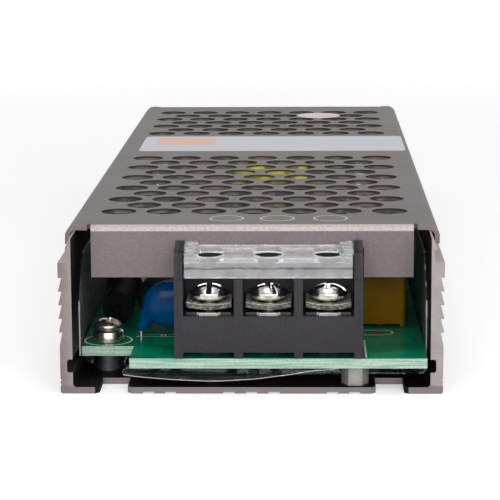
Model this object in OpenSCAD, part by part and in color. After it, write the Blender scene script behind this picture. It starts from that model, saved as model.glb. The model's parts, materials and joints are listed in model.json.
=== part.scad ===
// Slim vented power supply: a finned channel base, a clipped perforated cover,
// a circuit board with its parts, and a screw terminal block at each end.
// X runs across, Y along the case from the input end (-Y), Z up from the underside.

/* [Base channel] */
// Length of the extruded base
base_len = 187; // [172:1:230]
// Width over the fin tips
base_w = 61; // [60:0.5:70]
// Wall thickness from the inner face to the fin tips
wall_t = 2.1; // [1.8:0.1:2.6]
// Floor thickness
floor_t = 1.05; // [0.8:0.05:1.6]
// Height between neighbouring fins
fin_pitch = 2.2; // [1.8:0.05:2.4]
// Depth of each fin
fin_depth = 0.55; // [0.3:0.05:0.7]
// Number of fins on a wall
fin_count = 5; // [2:1:5]
// Plain band between the top fin and the shoulder
band_h = 2.45; // [1.5:0.05:3]
// Wall thickness of the neck above the shoulder
neck_t = 0.55; // [0.4:0.05:0.8]
// How far the snap hook stands out from the neck
hook_out = 0.3; // [0.2:0.05:0.5]
// Height of the snap hook, from its underside to the wall top
hook_h = 1.85; // [1.5:0.05:2.2]
// Height of the neck below the hook
neck_h = 1.95; // [1.5:0.05:2.5]
// Height of the inner groove along each wall
groove_h = 2.1; // [1.5:0.1:2.5]
// Depth of the inner groove
groove_depth = 0.9; // [0.4:0.1:1]
// Width of the mounting slots in the floor
slot_w = 4.5; // [4.2:0.1:5.5]
// Length of each mounting slot from the end of the base
slot_len = 6.2; // [5:0.1:6.6]
// Distance of the mounting slots from the inner wall face
slot_in = 6.4; // [5.5:0.1:8]

/* [Cover] */
// Sheet thickness of the cover
sheet_t = 0.8; // [0.6:0.1:1]
// Distance from each end of the base to the cover's flange
cover_inset = 8; // [8:0.5:10]
// Outside radius of the long bends
bend_r = 1.8; // [1.2:0.1:2.2]
// Outside radius of the flange bends
flange_r = 1.0; // [0.9:0.1:1.4]
// Distance from each end of a flange to the cover's side
flange_in = 4.15; // [3:0.05:5]
// Height of the end flanges
flange_h = 8.5; // [7:0.05:10]
// Diameter of the vent holes
vent_d = 5.9; // [4:0.1:6.4]
// Spacing of the vent holes across the cover
vent_pitch = 7.55; // [7.2:0.05:8]
// Vent holes in a long row
vent_cols = 7; // [3:2:7]
// Rows of vents in front of the label band
vent_rows_front = 11; // [5:2:11]
// Rows of vents behind the label band
vent_rows_rear = 7; // [3:2:7]
// First row's distance from the front flange
vent_front = 14; // [12:0.1:16]
// Last row's distance from the rear flange
vent_rear = 13.2; // [12:0.1:16]

/* [Circuit board] */
// Board thickness
board_t = 1.6; // [1.2:0.1:2]
// Gap between the board's edges and the walls
board_gap = 0.5; // [0.4:0.05:0.8]
// Height of the standoffs between floor and board
standoff_h = 3.0; // [2.5:0.1:4]
// Height kept for the parts above the board
part_h = 17.6; // [17.2:0.1:20]
// Air gap between the tallest part and the cover
top_gap = 1.75; // [1.5:0.05:3]
// Depth of the corner notch
notch_len = 8.7; // [8:0.1:9]
// Distance of the board screws from the inner wall face
screw_in = 4.4; // [3.9:0.1:5]
// Front board screw's distance from the end of the base
screw_end = 13.5; // [13:0.1:15]
// Thread diameter of the small screws
screw_d = 3; // [2.5:0.5:3]
// Thickness of the insulating film
film_t = 0.2; // [0.1:0.05:0.25]
// Height of the film's upright sides
film_h = 19; // [12:0.5:20]
// Film distance from each end of the base
film_end = 9; // [8.8:0.1:11]

/* [Terminal blocks] */
// Spacing of the terminals
cell_pitch = 9.5; // [9.2:0.1:11]
// Wall thickness between the cells
cell_wall = 1.4; // [1.2:0.1:1.6]
// Terminals on the input block
input_ways = 3; // [2:1:3]
// Terminals on the output block
output_ways = 4; // [2:1:4]
// Middle of the input block across the case
input_x = 2.75; // [0:0.25:3]
// Depth of a block, front to back
block_depth = 13.3; // [12.5:0.1:15]
// Height of the rear of a block above the board
block_rear_h = 15.3; // [14.4:0.1:16]
// Height of the contact plates above the board
contact_h = 7.4; // [6.6:0.1:7.8]
// Thickness of the contact plates
contact_t = 0.6; // [0.5:0.1:1.1]
// Thread diameter of the clamp screws
clamp_d = 3.5; // [3:0.5:4]
// Diameter of the clamp screw heads
head_d = 6.1; // [5.4:0.1:6.4]
// Height of the clamp screw heads
head_h = 2.6; // [2.2:0.1:3]
// Side of the square saddle clamps
saddle_w = 7.2; // [6.5:0.1:7.4]
// How far the clamps stand open above the contacts
clamp_lift = 0.3; // [0.3:0.1:1.2]
// Thickness of the clear covers
clear_t = 1.0; // [0.8:0.1:1.2]
// Slope of a closed clear cover towards its front edge
clear_slope = 9; // [4:1:11]

/* [Hidden] */
$fn = 36;
eps = 0.01;
front_y = -base_len / 2;
function from_front(d) = front_y + d;
function from_rear(d) = -front_y - d;

// Levels of the case
half_w = base_w / 2;
inner_x = half_w - wall_t;
slot_x = inner_x - slot_in;
screw_x = inner_x - screw_in;
board_z0 = floor_t + standoff_h;
board_z = board_z0 + board_t;
wall_h = board_z + part_h + top_gap;
cover_z = wall_h + sheet_t;
hook_z = wall_h - hook_h;
shoulder_z = hook_z - neck_h;
neck_x = inner_x + neck_t;
hook_x = neck_x + hook_out;

// Base section details
foot_in = 0.1;
edge_cut = 0.3;
nick_z = 1.2;
nick_h = 0.5;
nick_depth = 0.2;
nick_step = 0.75;
hook_tip = 0.4;
top_land = 0.3;
neck_fillet = 0.2;
groove_z = floor_t + 2.4;
groove_cut = 0.25;
corner_cut = 0.4;
sole_groove_w = 1.8;
sole_groove_depth = 0.3;
sole_groove_x = [-16.4, -12.9, -3.6, 0, 3.6, 12.9, 16.4];
slot_flare = 0.7;

// Cover fit
lip_gap = 0.1;
toe_in = 0.25;
toe_h = 0.3;
snap_gap = 0.1;
lip_x = hook_x + lip_gap;
cover_w = 2 * (lip_x + sheet_t);
flange_w = cover_w - 2 * flange_in;
cover_len = base_len - 2 * cover_inset;
toe_z = hook_z - snap_gap;
lip_z = toe_z - toe_h;
notch_gap = 0.3;
notch_top_gap = 1.2;
relief_w = 0.6;
relief_len = 1.5;
vent_row = vent_pitch * sin(60);

// Board fit
board_end = 0.3;
board_len = base_len - 2 * board_end;
board_w = 2 * (inner_x - board_gap);
slot_margin = 0.35;
notch_w = board_w / 2 - slot_x + slot_w / 2 + slot_margin;
film_gap = 0.1;
film_r = 1.0;
film_cut = 7;
hole_gap = 0.2;
thread_gap = 0.1;
standoff_d = 5;
stake_d = 4.2;
spacer_d = 4.4;
spacer_bore = 2;
spacer_gap = 0.35;
spacer_x = slot_x - slot_w / 2 - slot_flare - spacer_d / 2 - spacer_gap;
spacer_end = board_end + spacer_d / 2 + 0.25;
washer_d = 5;
washer_t = 0.9;
washer_gap = 0.9;
plain_d = 5.4;
plain_t = 0.8;
pan_d = 5;
pan_h = 2.1;
lead_d = 0.8;
lead_tail = 1.2;
spacer_places = [[spacer_x, from_front(spacer_end)], [-spacer_x, from_rear(spacer_end)]];

// Terminal block fit, measured from the block's front face and the board's top
block_front = 0.2;
body_lift = 1.0;
step_h = 12.65;
step_in = 0.6;
side_h = 16.4;
hinge_y = 6;
hinge_z = 16.5;
ear_r = 1.5;
pin_d = 1.6;
pin_gap = 0.06;
pin_len = 1.2;
divider_top = hinge_z - 1.6;
divider_in = 2.2;
cell_rear = 9.1;
screw_y = 4.5;
leg_y = 8.4;
leg_t = 0.8;
leg_w = 3;
clear_gap = 0.25;
clear_front = 0.4;
clear_rear = 6.8;
clear_lip_z = step_h + 0.25;
clear_lip_t = 0.9;
clear_hole_d = 5;
clear_hole_in = 0.9;
knuckle_len = 2;
saddle_t = 0.8;
saddle_r = 14;
seat_gap = 0.1;
shank_len = 6;
shank_gap = 0.5;
slot_depth = 1.2;
screw_slot_w = 0.9;
input_turns = [0, 18, 80];
output_turns = [35, -20, 65, 10];
block_w_input = input_ways * cell_pitch + cell_wall;
block_w_output = output_ways * cell_pitch + cell_wall;

// Places of the inner parts on the board, X then distance from the front end
disc_front = [-13.8, 16.9];
disc_d = 8.5;
disc_t = 4.5;
disc_pitch = 10;
disc_lift = 1;
thermistor_d = 8;
thermistor_t = 4.4;
thermistor_pitch = 5;
film_cap_size = [8.5, 18, 14.5];
film_cap_pitch = 15;
fuse_d = 5.2;
fuse_len = 20;
fuse_cap_len = 5;
fuse_span = 24;
fuse_lift = 1;
choke_at = [0.5, 32];
choke_size = [20, 20, 15.5];
choke_leg = 4;
choke_coil_t = 3;
choke_pin = [16, 8];
bridge_size = [4.6, 18, 14];
bridge_pitch = 3.8;
bridge_lift = 1.5;
bulk_at = [[-9.4, 58], [7.6, 58]];
bulk_d = 16;
bulk_len = 23;
bulk_pitch = 7.5;
bulk_bend = 1.6;
bead_depth = 0.6;
bleed_d = 2.6;
bleed_len = 7;
bleed_span = 9;
sink_t = 2;
sink_h = 16;
sink_len = 28;
sink_edge = 1;
pad_t = 0.25;
tab_t = 1.3;
tab_w = 10;
tab_h = 15.2;
case_h = 9;
case_t = 4.4;
tab_lift = 0.8;
tab_hole_d = 3.4;
tab_hole_z = 12.4;
tab_pitch = 2.54;
trafo_x = 1.8;
trafo_gap = 1;
core_w = 25.4;
core_len = 29;
core_h = 9;
core_leg = 3.2;
core_yoke = 3.6;
core_mid = 6.4;
coil_w = 14.4;
coil_h = 17;
coil_r = 2.2;
bobbin_t = 0.8;
bobbin_gap = 0.1;
rail_h = 4.4;
rail_len = 3.4;
trafo_pins = 4;
trafo_pin_pitch = 5;
barrier_size = [0.5, 20, 16.9];
ring_r = 5.6;
ring_core_r = 2.2;
ring_wire_d = 1.1;
ring_turns = 14;
ring_gap = 0.05;
out_cap_x = 0.8;
out_cap_gap = [0.2, 2];
out_cap_d = 10;
out_cap_h = 16;
out_cap_pitch = 5;
opto_size = [6.4, 4.6, 3.5];
chip_size = [3.9, 4.9, 1.5];
trimmer_size = [6, 6, 4.4];
trimmer_pitch = 4.6;
trimmer_rotor_d = 3.6;
trimmer_rotor_h = 1.8;
trimmer_gap = 0.06;
led_d = 3;
led_rim_d = 3.8;
led_h = 4;

// Rows that follow the side walls: fuse, resistors and plates one behind the other
screw_pad = plain_d / 2;
fuse_start = screw_end + screw_pad + 4.8;
fuse_at = [-(inner_x - 5.2), fuse_start + fuse_span / 2];
bleed_d0 = fuse_start + fuse_span + 0.5 + bleed_span / 2;
bleed_at = [[-(inner_x - 3.4), bleed_d0], [-(inner_x - 6.9), bleed_d0]];
sink_primary_d = bleed_d0 + bleed_span / 2 + 1.5;
screw_mid = sink_primary_d + sink_len + screw_pad + 5.3;
sink_secondary_d = screw_mid + screw_pad + 5.3;
thermistor_at = [-(inner_x - 12.4), 24.2];
film_cap_at = [inner_x - 7.2, 33];
bridge_at = [inner_x - 6.9, 55];
disc_mid = [inner_x - 7.9, 80];
trafo_at = [trafo_x, bulk_at[0][1] + bulk_len / 2 + trafo_gap + core_len / 2];
trafo_end = trafo_at[1] + core_len / 2;
chip_at = [-(inner_x - 11.4), trafo_end - 1.5];
opto_at = [-8, trafo_end + 2.2 + opto_size[1] / 2];
ring_at = [-14, trafo_end + 17.5];
out_cap_d0 = trafo_end + 5.5 + out_cap_d / 2;
out_cap_at = [for (i = [0, 1], j = [0, 1])
    [out_cap_x + i * (out_cap_d + out_cap_gap[0]), out_cap_d0 + j * (out_cap_d + out_cap_gap[1])]];
barrier_at = [out_cap_at[2][0] + out_cap_d / 2 + 0.7, trafo_end + 3];
trimmer_at = [-(inner_x - 4.1), 3.6];
led_at = [-(inner_x - 4.1), 11.8];
output_x = trimmer_at[0] + trimmer_size[0] / 2 + 0.5 + block_w_output / 2;
screw_rear = block_front + block_depth + screw_pad + 0.4;
screw_places = [[-screw_x, from_front(screw_end)], [screw_x, from_rear(screw_rear)],
    [-screw_x, from_front(screw_mid)], [screw_x, from_front(screw_mid)]];

function spread(at, pitch, along) =
    [for (s = [-1, 1]) [at[0] + s * pitch / 2 * along[0], from_front(at[1]) + s * pitch / 2 * along[1]]];
function rear_spread(at, pitch, along) =
    [for (s = [-1, 1]) [at[0] + s * pitch / 2 * along[0], from_rear(at[1]) + s * pitch / 2 * along[1]]];

sink_x = board_w / 2 - sink_edge - sink_t / 2;
tab_x = sink_x - sink_t / 2 - pad_t - case_t / 2 - 0.3;
function tab_leads(side, d) =
    [for (i = [-1:1]) [side * tab_x, from_front(d + sink_len / 2) + i * tab_pitch]];

disc_leads = concat(spread(disc_front, disc_pitch, [1, 0]), spread(disc_mid, disc_pitch, [0, 1]));
thermistor_leads = spread(thermistor_at, thermistor_pitch, [1, 0]);
film_cap_leads = spread(film_cap_at, film_cap_pitch, [0, 1]);
fuse_leads = spread(fuse_at, fuse_span, [0, 1]);
choke_leads = [for (sx = [-1, 1], sy = [-1, 1])
    [choke_at[0] + sx * choke_pin[0] / 2, from_front(choke_at[1]) + sy * choke_pin[1] / 2]];
bridge_leads = [for (i = [0:3]) [bridge_at[0], from_front(bridge_at[1]) + (i - 1.5) * bridge_pitch]];
bulk_leads = [for (at = bulk_at, s = [-1, 1])
    [at[0] + s * bulk_pitch / 2, from_front(at[1] - bulk_len / 2 - bulk_bend)]];
bleed_leads = [for (at = bleed_at) each spread(at, bleed_span, [0, 1])];
trafo_leads = [for (i = [0:trafo_pins - 1], s = [-1, 1])
    [trafo_at[0] + (i - (trafo_pins - 1) / 2) * trafo_pin_pitch,
     from_front(trafo_at[1]) + s * (core_len / 2 - rail_len / 2)]];
ring_leads = spread(ring_at, 2 * (ring_r + ring_core_r) + 3, [1, 0]);
out_cap_leads = [for (at = out_cap_at) each spread(at, out_cap_pitch, [1, 0])];
opto_leads = [for (sx = [-1, 1], sy = [-1, 1])
    [opto_at[0] + sx * 3.81, from_front(opto_at[1]) + sy * 1.27]];
trimmer_leads = rear_spread(trimmer_at, trimmer_pitch, [0, 1]);
led_leads = rear_spread(led_at, 2.54, [1, 0]);
all_leads = concat(disc_leads, thermistor_leads, film_cap_leads, fuse_leads, choke_leads, bridge_leads,
    bulk_leads, bleed_leads, tab_leads(-1, sink_primary_d), tab_leads(1, sink_secondary_d), trafo_leads,
    ring_leads, out_cap_leads, opto_leads, trimmer_leads, led_leads);

// Section with rounded top corners, standing on the X axis
module arch(w, h, r) {
    translate([-w / 2, 0]) square([w, h - r]);
    translate([-w / 2 + r, 0]) square([w - 2 * r, h]);
    for (s = [-1, 1]) translate([s * (w / 2 - r), h - r]) circle(r);
}

// Sets a section drawn across the case, X and Z, running along Y
module along_y(len) {
    rotate([90, 0, 0]) linear_extrude(len, center = true) children();
}

// Sets a section drawn along the case, Y and Z, running across X
module along_x(len) {
    rotate([90, 0, 90]) linear_extrude(len, center = true) children();
}

module on_board(at) {
    translate([at[0], from_front(at[1]), board_z]) children();
}

module on_board_rear(at) {
    translate([at[0], from_rear(at[1]), board_z]) children();
}

// Round leads from under the board up to a height above it
module leads(places, top) {
    for (p = places)
        translate([p[0], p[1], board_z0 - lead_tail])
            cylinder(d = lead_d, h = board_t + lead_tail + top);
}

// Right half of the base section: floor, finned wall, shoulder and snap hook
fin_top = shoulder_z - band_h;
fin_low = fin_top - (fin_count - 1) * fin_pitch;
fin_points = [for (i = [fin_count - 1:-1:0]) each [
    [half_w - fin_depth, fin_top - i * fin_pitch], [half_w, fin_top - i * fin_pitch]]];
nick_points = [for (i = [0:1]) each [
    [half_w - foot_in, nick_z + i * nick_step],
    [half_w - foot_in - nick_depth, nick_z + i * nick_step + nick_h / 2],
    [half_w - foot_in, nick_z + i * nick_step + nick_h]]];
half_points = concat(
    [[half_w - foot_in - edge_cut, 0], [half_w - foot_in, edge_cut]],
    nick_points,
    [[half_w - foot_in, fin_low - fin_pitch]],
    fin_points,
    [[half_w, shoulder_z], [neck_x + neck_fillet, shoulder_z], [neck_x, shoulder_z + neck_fillet],
     [neck_x, hook_z], [hook_x, hook_z], [hook_x, hook_z + hook_tip],
     [inner_x + top_land, wall_h], [inner_x, wall_h],
     [inner_x, groove_z + groove_h],
     [inner_x + groove_depth - groove_cut, groove_z + groove_h],
     [inner_x + groove_depth, groove_z + groove_h - groove_cut],
     [inner_x + groove_depth, groove_z + groove_cut],
     [inner_x + groove_depth - groove_cut, groove_z],
     [inner_x, groove_z], [inner_x, floor_t + corner_cut], [inner_x - corner_cut, floor_t]]);

// Whole base section: the right half and its mirror image
module base_section() {
    last = len(half_points) - 1;
    polygon(concat(half_points, [for (i = [last:-1:0]) [-half_points[i][0], half_points[i][1]]]));
}

// Open mounting slot with a flared mouth, drawn from the end of the base
module end_slot() {
    half = slot_w / 2;
    polygon([[-half - slot_flare - eps, -eps], [half + slot_flare + eps, -eps], [half, slot_flare],
             [half, slot_len], [-half, slot_len], [-half, slot_flare]]);
}

module base_channel() {
    color("#b9b2ae") difference() {
        along_y(base_len) difference() {
            base_section();
            for (x = sole_groove_x)
                translate([x - sole_groove_w / 2, -eps]) square([sole_groove_w, sole_groove_depth + eps]);
        }
        for (s = [-1, 1], e = [0, 180])
            rotate(e) translate([s * slot_x, front_y, -eps]) linear_extrude(floor_t + 2 * eps) end_slot();
        for (p = screw_places)
            translate([p[0], p[1], -eps])
                cylinder(d = stake_d + thread_gap, h = floor_t + 2 * eps);
    }
}

// Folded sheet section of the cover: roof, side lips and inturned toes
module cover_section() {
    difference() {
        arch(cover_w, cover_z, bend_r);
        arch(2 * lip_x, wall_h, bend_r - sheet_t);
        translate([-cover_w, -eps]) square([2 * cover_w, lip_z + eps]);
    }
    for (s = [-1, 1])
        translate([s * (lip_x - toe_in / 2 + eps), lip_z + toe_h / 2])
            square([toe_in + 2 * eps, toe_h], center = true);
}

// End flange with its cut-out for a terminal block, drawn at the front end
module end_flange(block_x, block_w) {
    difference() {
        translate([-flange_w / 2, from_front(cover_inset), cover_z - flange_h])
            cube([flange_w, sheet_t, flange_h - eps]);
        translate([block_x - block_w / 2 - notch_gap, from_front(cover_inset) - 1, 0])
            cube([block_w + 2 * notch_gap, sheet_t + 2, board_z + block_rear_h + notch_top_gap]);
    }
}

// What the press takes off the front edge: bend radius and corner reliefs
module flange_cuts() {
    translate([0, from_front(cover_inset), cover_z]) {
        difference() {
            translate([-flange_w / 2 - relief_w, -1, -flange_r])
                cube([flange_w + 2 * relief_w, flange_r + 1, flange_r + 1]);
            translate([-flange_w, flange_r, -flange_r])
                rotate([0, 90, 0]) cylinder(r = flange_r, h = 2 * flange_w);
        }
        for (s = [-1, 1])
            translate([s * (flange_w + relief_w) / 2 - relief_w / 2, -1, -sheet_t - 1])
                cube([relief_w, relief_len + 1, sheet_t + 2]);
    }
}

// One staggered row of vents: long rows have one hole more
module vent_line(row, y) {
    count = vent_cols - row % 2;
    for (i = [0:count - 1])
        translate([(i - (count - 1) / 2) * vent_pitch, y, wall_h - 1])
            cylinder(d = vent_d, h = sheet_t + 2);
}

module top_cover() {
    color("#807c7a") difference() {
        union() {
            along_y(cover_len) cover_section();
            end_flange(input_x, block_w_input);
            rotate(180) end_flange(-output_x, block_w_output);
        }
        flange_cuts();
        rotate(180) flange_cuts();
        for (row = [0:vent_rows_front - 1])
            vent_line(row, from_front(cover_inset + vent_front + row * vent_row));
        for (row = [0:vent_rows_rear - 1])
            vent_line(row, from_rear(cover_inset + vent_rear + row * vent_row));
    }
}

module insulating_film() {
    outer = inner_x - film_gap;
    low = floor_t;
    film_len = base_len - 2 * film_end;
    color("#dfe6e4", 0.5) difference() {
        along_y(film_len) translate([0, low + film_h]) mirror([0, 1]) difference() {
            arch(2 * outer, film_h, film_r);
            translate([0, -eps]) arch(2 * (outer - film_t), film_h - film_t + eps, film_r - film_t);
        }
        for (p = screw_places)
            translate([p[0], p[1], 0]) cylinder(d = standoff_d + 1, h = board_z0);
        for (a = [0, 180]) rotate(a)
            translate([-inner_x - eps, front_y, 0])
                cube([screw_in + standoff_d / 2, screw_end + standoff_d / 2 + 0.5, board_z0]);
        for (e = [-1, 1])
            translate([0, e * film_len / 2, low + film_h])
                rotate([45, 0, 0]) cube([2 * half_w, film_cut * sqrt(2), film_cut * sqrt(2)], center = true);
    }
}

module board_outline() {
    difference() {
        square([board_w, board_len], center = true);
        for (s = [-1, 1])
            translate([s * (board_w / 2 - notch_w / 2), s * (board_len / 2 - notch_len / 2)])
                square([notch_w + eps, notch_len + eps], center = true);
    }
}

function leg_places(ways, middle) = [for (i = [0:ways - 1]) middle + (i - (ways - 1) / 2) * cell_pitch];

module circuit_board() {
    color("#00734a") translate([0, 0, board_z0]) linear_extrude(board_t) difference() {
        board_outline();
        for (p = screw_places) translate(p) circle(d = screw_d + 2 * hole_gap);
        for (p = all_leads) translate(p) circle(d = lead_d + hole_gap);
        for (x = leg_places(input_ways, input_x))
            translate([x, from_front(block_front + leg_y)])
                square([leg_w + hole_gap, leg_t + hole_gap], center = true);
        for (x = leg_places(output_ways, output_x))
            translate([x, from_rear(block_front + leg_y)])
                square([leg_w + hole_gap, leg_t + hole_gap], center = true);
    }
}

// Threaded standoffs staked into the floor
module board_standoffs() {
    color("#333236") for (p = screw_places) translate([p[0], p[1], 0]) difference() {
        union() {
            translate([0, 0, floor_t]) cylinder(d = standoff_d, h = standoff_h);
            cylinder(d = stake_d, h = floor_t + eps);
        }
        translate([0, 0, -eps]) cylinder(d = screw_d + thread_gap, h = board_z0 + 2 * eps);
    }
}

// Six-sided aluminium spacers under the board, beside the slots that it covers
module board_spacers() {
    color("#d6d3cf") for (p = spacer_places) translate([p[0], p[1], floor_t]) difference() {
        cylinder(d = spacer_d, h = standoff_h, $fn = 6);
        translate([0, 0, -eps]) cylinder(d = spacer_bore, h = standoff_h + 2 * eps);
    }
}

// Slot and shorter cross slot in a screw head, cut from the head's top
module drive_slots(head, depth) {
    translate([0, 0, -depth / 2]) {
        cube([screw_slot_w, head + 1, depth + 2 * eps], center = true);
        cube([head * 0.6, screw_slot_w, depth + 2 * eps], center = true);
    }
}

// Pan head with a domed top and a rounded rim, standing on Z = 0
function rim_r(h) = h * 0.42;

module pan_head(d, h) {
    dome = h / 2;
    dome_r = (d * d / 4 + dome * dome) / (2 * dome);
    intersection() {
        rotate_extrude() {
            square([d / 2 - rim_r(h), h]);
            translate([d / 2 - rim_r(h), rim_r(h)]) circle(rim_r(h));
        }
        translate([0, 0, h - dome_r]) sphere(dome_r, $fn = 72);
    }
}

// Small pan head screw with a cross recess
module small_screw(len) {
    recess_w = pan_d * 0.6;
    recess_h = pan_h * 0.55;
    difference() {
        union() {
            pan_head(pan_d, pan_h);
            translate([0, 0, -len]) cylinder(d = screw_d, h = len + eps);
        }
        for (a = [0, 90]) rotate(a) translate([0, 0, pan_h])
            cube([recess_w, screw_slot_w, 2 * recess_h], center = true);
    }
}

module board_screws() {
    stack = plain_t + washer_t;
    color("#c9c7c3") for (p = screw_places)
        translate([p[0], p[1], board_z + stack]) rotate(25) small_screw(stack + board_t + standoff_h - 0.5);
}

// Plain washers with split spring washers on them, under the board screw heads
module lock_washers() {
    color("#a9a7a3") for (p = screw_places) translate([p[0], p[1], board_z]) difference() {
        union() {
            cylinder(d = plain_d, h = plain_t);
            difference() {
                cylinder(d = washer_d, h = plain_t + washer_t);
                translate([0, -washer_gap / 2, plain_t]) cube([washer_d, washer_gap, washer_t + eps]);
            }
        }
        translate([0, 0, -eps]) cylinder(d = screw_d + 2 * hole_gap, h = plain_t + washer_t + 2 * eps);
    }
}

// Puts a terminal block piece at the input or the output end, on the board
module at_input() {
    translate([input_x, from_front(block_front), board_z]) children();
}

module at_output() {
    translate([output_x, from_rear(block_front), board_z]) rotate(180) children();
}

module block_side(hole) {
    difference() {
        union() {
            polygon([[0, 0], [block_depth, 0], [block_depth, block_rear_h],
                     [hinge_y + ear_r, block_rear_h], [hinge_y + ear_r, hinge_z],
                     [hinge_y - ear_r, hinge_z], [hinge_y - ear_r, side_h], [step_in, side_h],
                     [step_in, step_h], [0, step_h]]);
            translate([hinge_y, hinge_z]) circle(ear_r);
        }
        if (hole) translate([hinge_y, hinge_z]) circle(d = pin_d + 2 * pin_gap);
    }
}

module block_divider() {
    polygon([[0, 0], [block_depth, 0], [block_depth, block_rear_h], [cell_rear, block_rear_h],
             [cell_rear, divider_top], [divider_in, divider_top], [divider_in, step_h], [0, step_h]]);
}

// Barrier body: side walls with hinge ears, dividers, cell floors and the rear wall
module block_body(ways) {
    w = ways * cell_pitch + cell_wall;
    floor_h = contact_h - contact_t;
    difference() {
        union() {
            for (s = [-1, 1])
                translate([s * (w - cell_wall) / 2, 0, 0]) along_x(cell_wall) block_side(true);
            for (i = [1:ways - 1])
                translate([i * cell_pitch - (w - cell_wall) / 2, 0, 0]) along_x(cell_wall) block_divider();
            translate([-w / 2 + eps, 0, body_lift]) cube([w - 2 * eps, block_depth, floor_h - body_lift]);
            translate([-w / 2 + eps, cell_rear, body_lift])
                cube([w - 2 * eps, block_depth - cell_rear, block_rear_h - body_lift]);
        }
        for (x = leg_places(ways, 0)) {
            translate([x, leg_y, 0])
                cube([leg_w + hole_gap, leg_t + hole_gap, 2 * contact_h], center = true);
            translate([x, screw_y, body_lift + 0.6])
                cylinder(d = clamp_d + shank_gap, h = contact_h);
        }
    }
}

module block_contacts(ways) {
    plate_w = saddle_w;
    tongue_w = 3.1;
    for (x = leg_places(ways, 0)) translate([x, 0, 0]) difference() {
        union() {
            translate([-plate_w / 2, 0.6, contact_h - contact_t])
                cube([plate_w, leg_y + leg_t / 2 - 0.6, contact_t]);
            translate([-tongue_w / 2, 0.2, contact_h - contact_t])
                cube([tongue_w, 1, contact_t]);
            translate([-leg_w / 2, leg_y - leg_t / 2, -board_t - lead_tail])
                cube([leg_w, leg_t, contact_h + board_t + lead_tail - eps]);
        }
        translate([0, screw_y, contact_h - 2 * contact_t])
            cylinder(d = clamp_d + thread_gap, h = 3 * contact_t);
    }
}

// Clear cover: sloping plate, front lip, test holes and two hinge pins
module clear_cover(ways) {
    w = ways * cell_pitch - cell_wall - 2 * clear_gap;
    drop = (hinge_y - clear_front) * tan(clear_slope);
    rise = (clear_rear - hinge_y) * tan(clear_slope);
    top = hinge_z + clear_t / 2;
    difference() {
        union() {
            along_x(w) polygon([[clear_front, clear_lip_z], [clear_front + clear_lip_t, clear_lip_z],
                [clear_front + clear_lip_t, top - clear_t - drop + clear_lip_t * tan(clear_slope)],
                [clear_rear, top - clear_t + rise], [clear_rear, top + rise], [clear_front, top - drop]]);
            for (s = [-1, 1]) translate([s * (w - knuckle_len) / 2, hinge_y, hinge_z])
                rotate([0, 90, 0]) cylinder(d = pin_d + clear_t, h = knuckle_len, center = true);
            translate([0, hinge_y, hinge_z]) rotate([0, 90, 0])
                cylinder(d = pin_d, h = w + 2 * clear_gap + 2 * pin_len, center = true);
        }
        for (x = leg_places(ways, 0))
            translate([x, screw_y - clear_hole_in, hinge_z - 3]) cylinder(d = clear_hole_d, h = 6);
        translate([-w / 2 + knuckle_len, hinge_y - pin_d, hinge_z - pin_d - clear_t])
            cube([w - 2 * knuckle_len, 2 * pin_d, pin_d + clear_t / 2]);
    }
}

// Saddle clamp: a square plate bowed up at its sides
module saddle() {
    translate([0, screw_y, contact_h + clamp_lift]) difference() {
        along_y(saddle_w) intersection() {
            translate([0, saddle_r]) difference() {
                circle(saddle_r, $fn = 144);
                circle(saddle_r - saddle_t, $fn = 144);
            }
            translate([-saddle_w / 2, -1]) square([saddle_w, saddle_r / 2]);
        }
        translate([0, 0, -1]) cylinder(d = clamp_d + 2 * seat_gap, h = 3 * saddle_t + 2);
    }
}

module clamp_screw(turn) {
    hollow_r = saddle_r - saddle_t;
    bow = hollow_r - sqrt(pow(hollow_r, 2) - pow(head_d / 2 - rim_r(head_h), 2));
    seat = contact_h + clamp_lift + saddle_t + bow + seat_gap;
    translate([0, screw_y, seat]) rotate(turn) difference() {
        union() {
            pan_head(head_d, head_h);
            translate([0, 0, -shank_len]) cylinder(d = clamp_d, h = shank_len + eps);
        }
        translate([0, 0, head_h]) drive_slots(head_d, slot_depth);
    }
}

module input_block() {
    color("#444246") at_input() block_body(input_ways);
}

module input_contacts() {
    color("#cfccc4") at_input() block_contacts(input_ways);
}

module input_cover() {
    color("#e9ecef", 0.4) at_input() clear_cover(input_ways);
}

module input_clamp(i) {
    color("#c8c5bd") if (i <= input_ways)
        at_input() translate([leg_places(input_ways, 0)[i - 1], 0, 0]) saddle();
}

module input_screw(i) {
    color("#d8d5cc") if (i <= input_ways)
        at_input() translate([leg_places(input_ways, 0)[i - 1], 0, 0]) clamp_screw(input_turns[i - 1]);
}

module output_block() {
    color("#444246") at_output() block_body(output_ways);
}

module output_contacts() {
    color("#cfccc4") at_output() block_contacts(output_ways);
}

module output_cover() {
    color("#e9ecef", 0.4) at_output() clear_cover(output_ways);
}

module output_clamp(i) {
    color("#c8c5bd") if (i <= output_ways)
        at_output() translate([leg_places(output_ways, 0)[i - 1], 0, 0]) saddle();
}

module output_screw(i) {
    color("#d8d5cc") if (i <= output_ways)
        at_output() translate([leg_places(output_ways, 0)[i - 1], 0, 0]) clamp_screw(output_turns[i - 1]);
}

// Sleeved fuse lying between two formed leads
module fuse() {
    axis_z = fuse_lift + fuse_d / 2;
    color("#222225") {
        on_board(fuse_at) translate([0, 0, axis_z]) rotate([90, 0, 0]) {
            cylinder(d = fuse_d - 0.5, h = fuse_len - eps, center = true);
            for (s = [-1, 1]) translate([0, 0, s * (fuse_len - fuse_cap_len) / 2])
                cylinder(d = fuse_d, h = fuse_cap_len, center = true);
            cylinder(d = lead_d, h = fuse_span + lead_d, center = true);
        }
        leads(fuse_leads, axis_z);
    }
}

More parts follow.
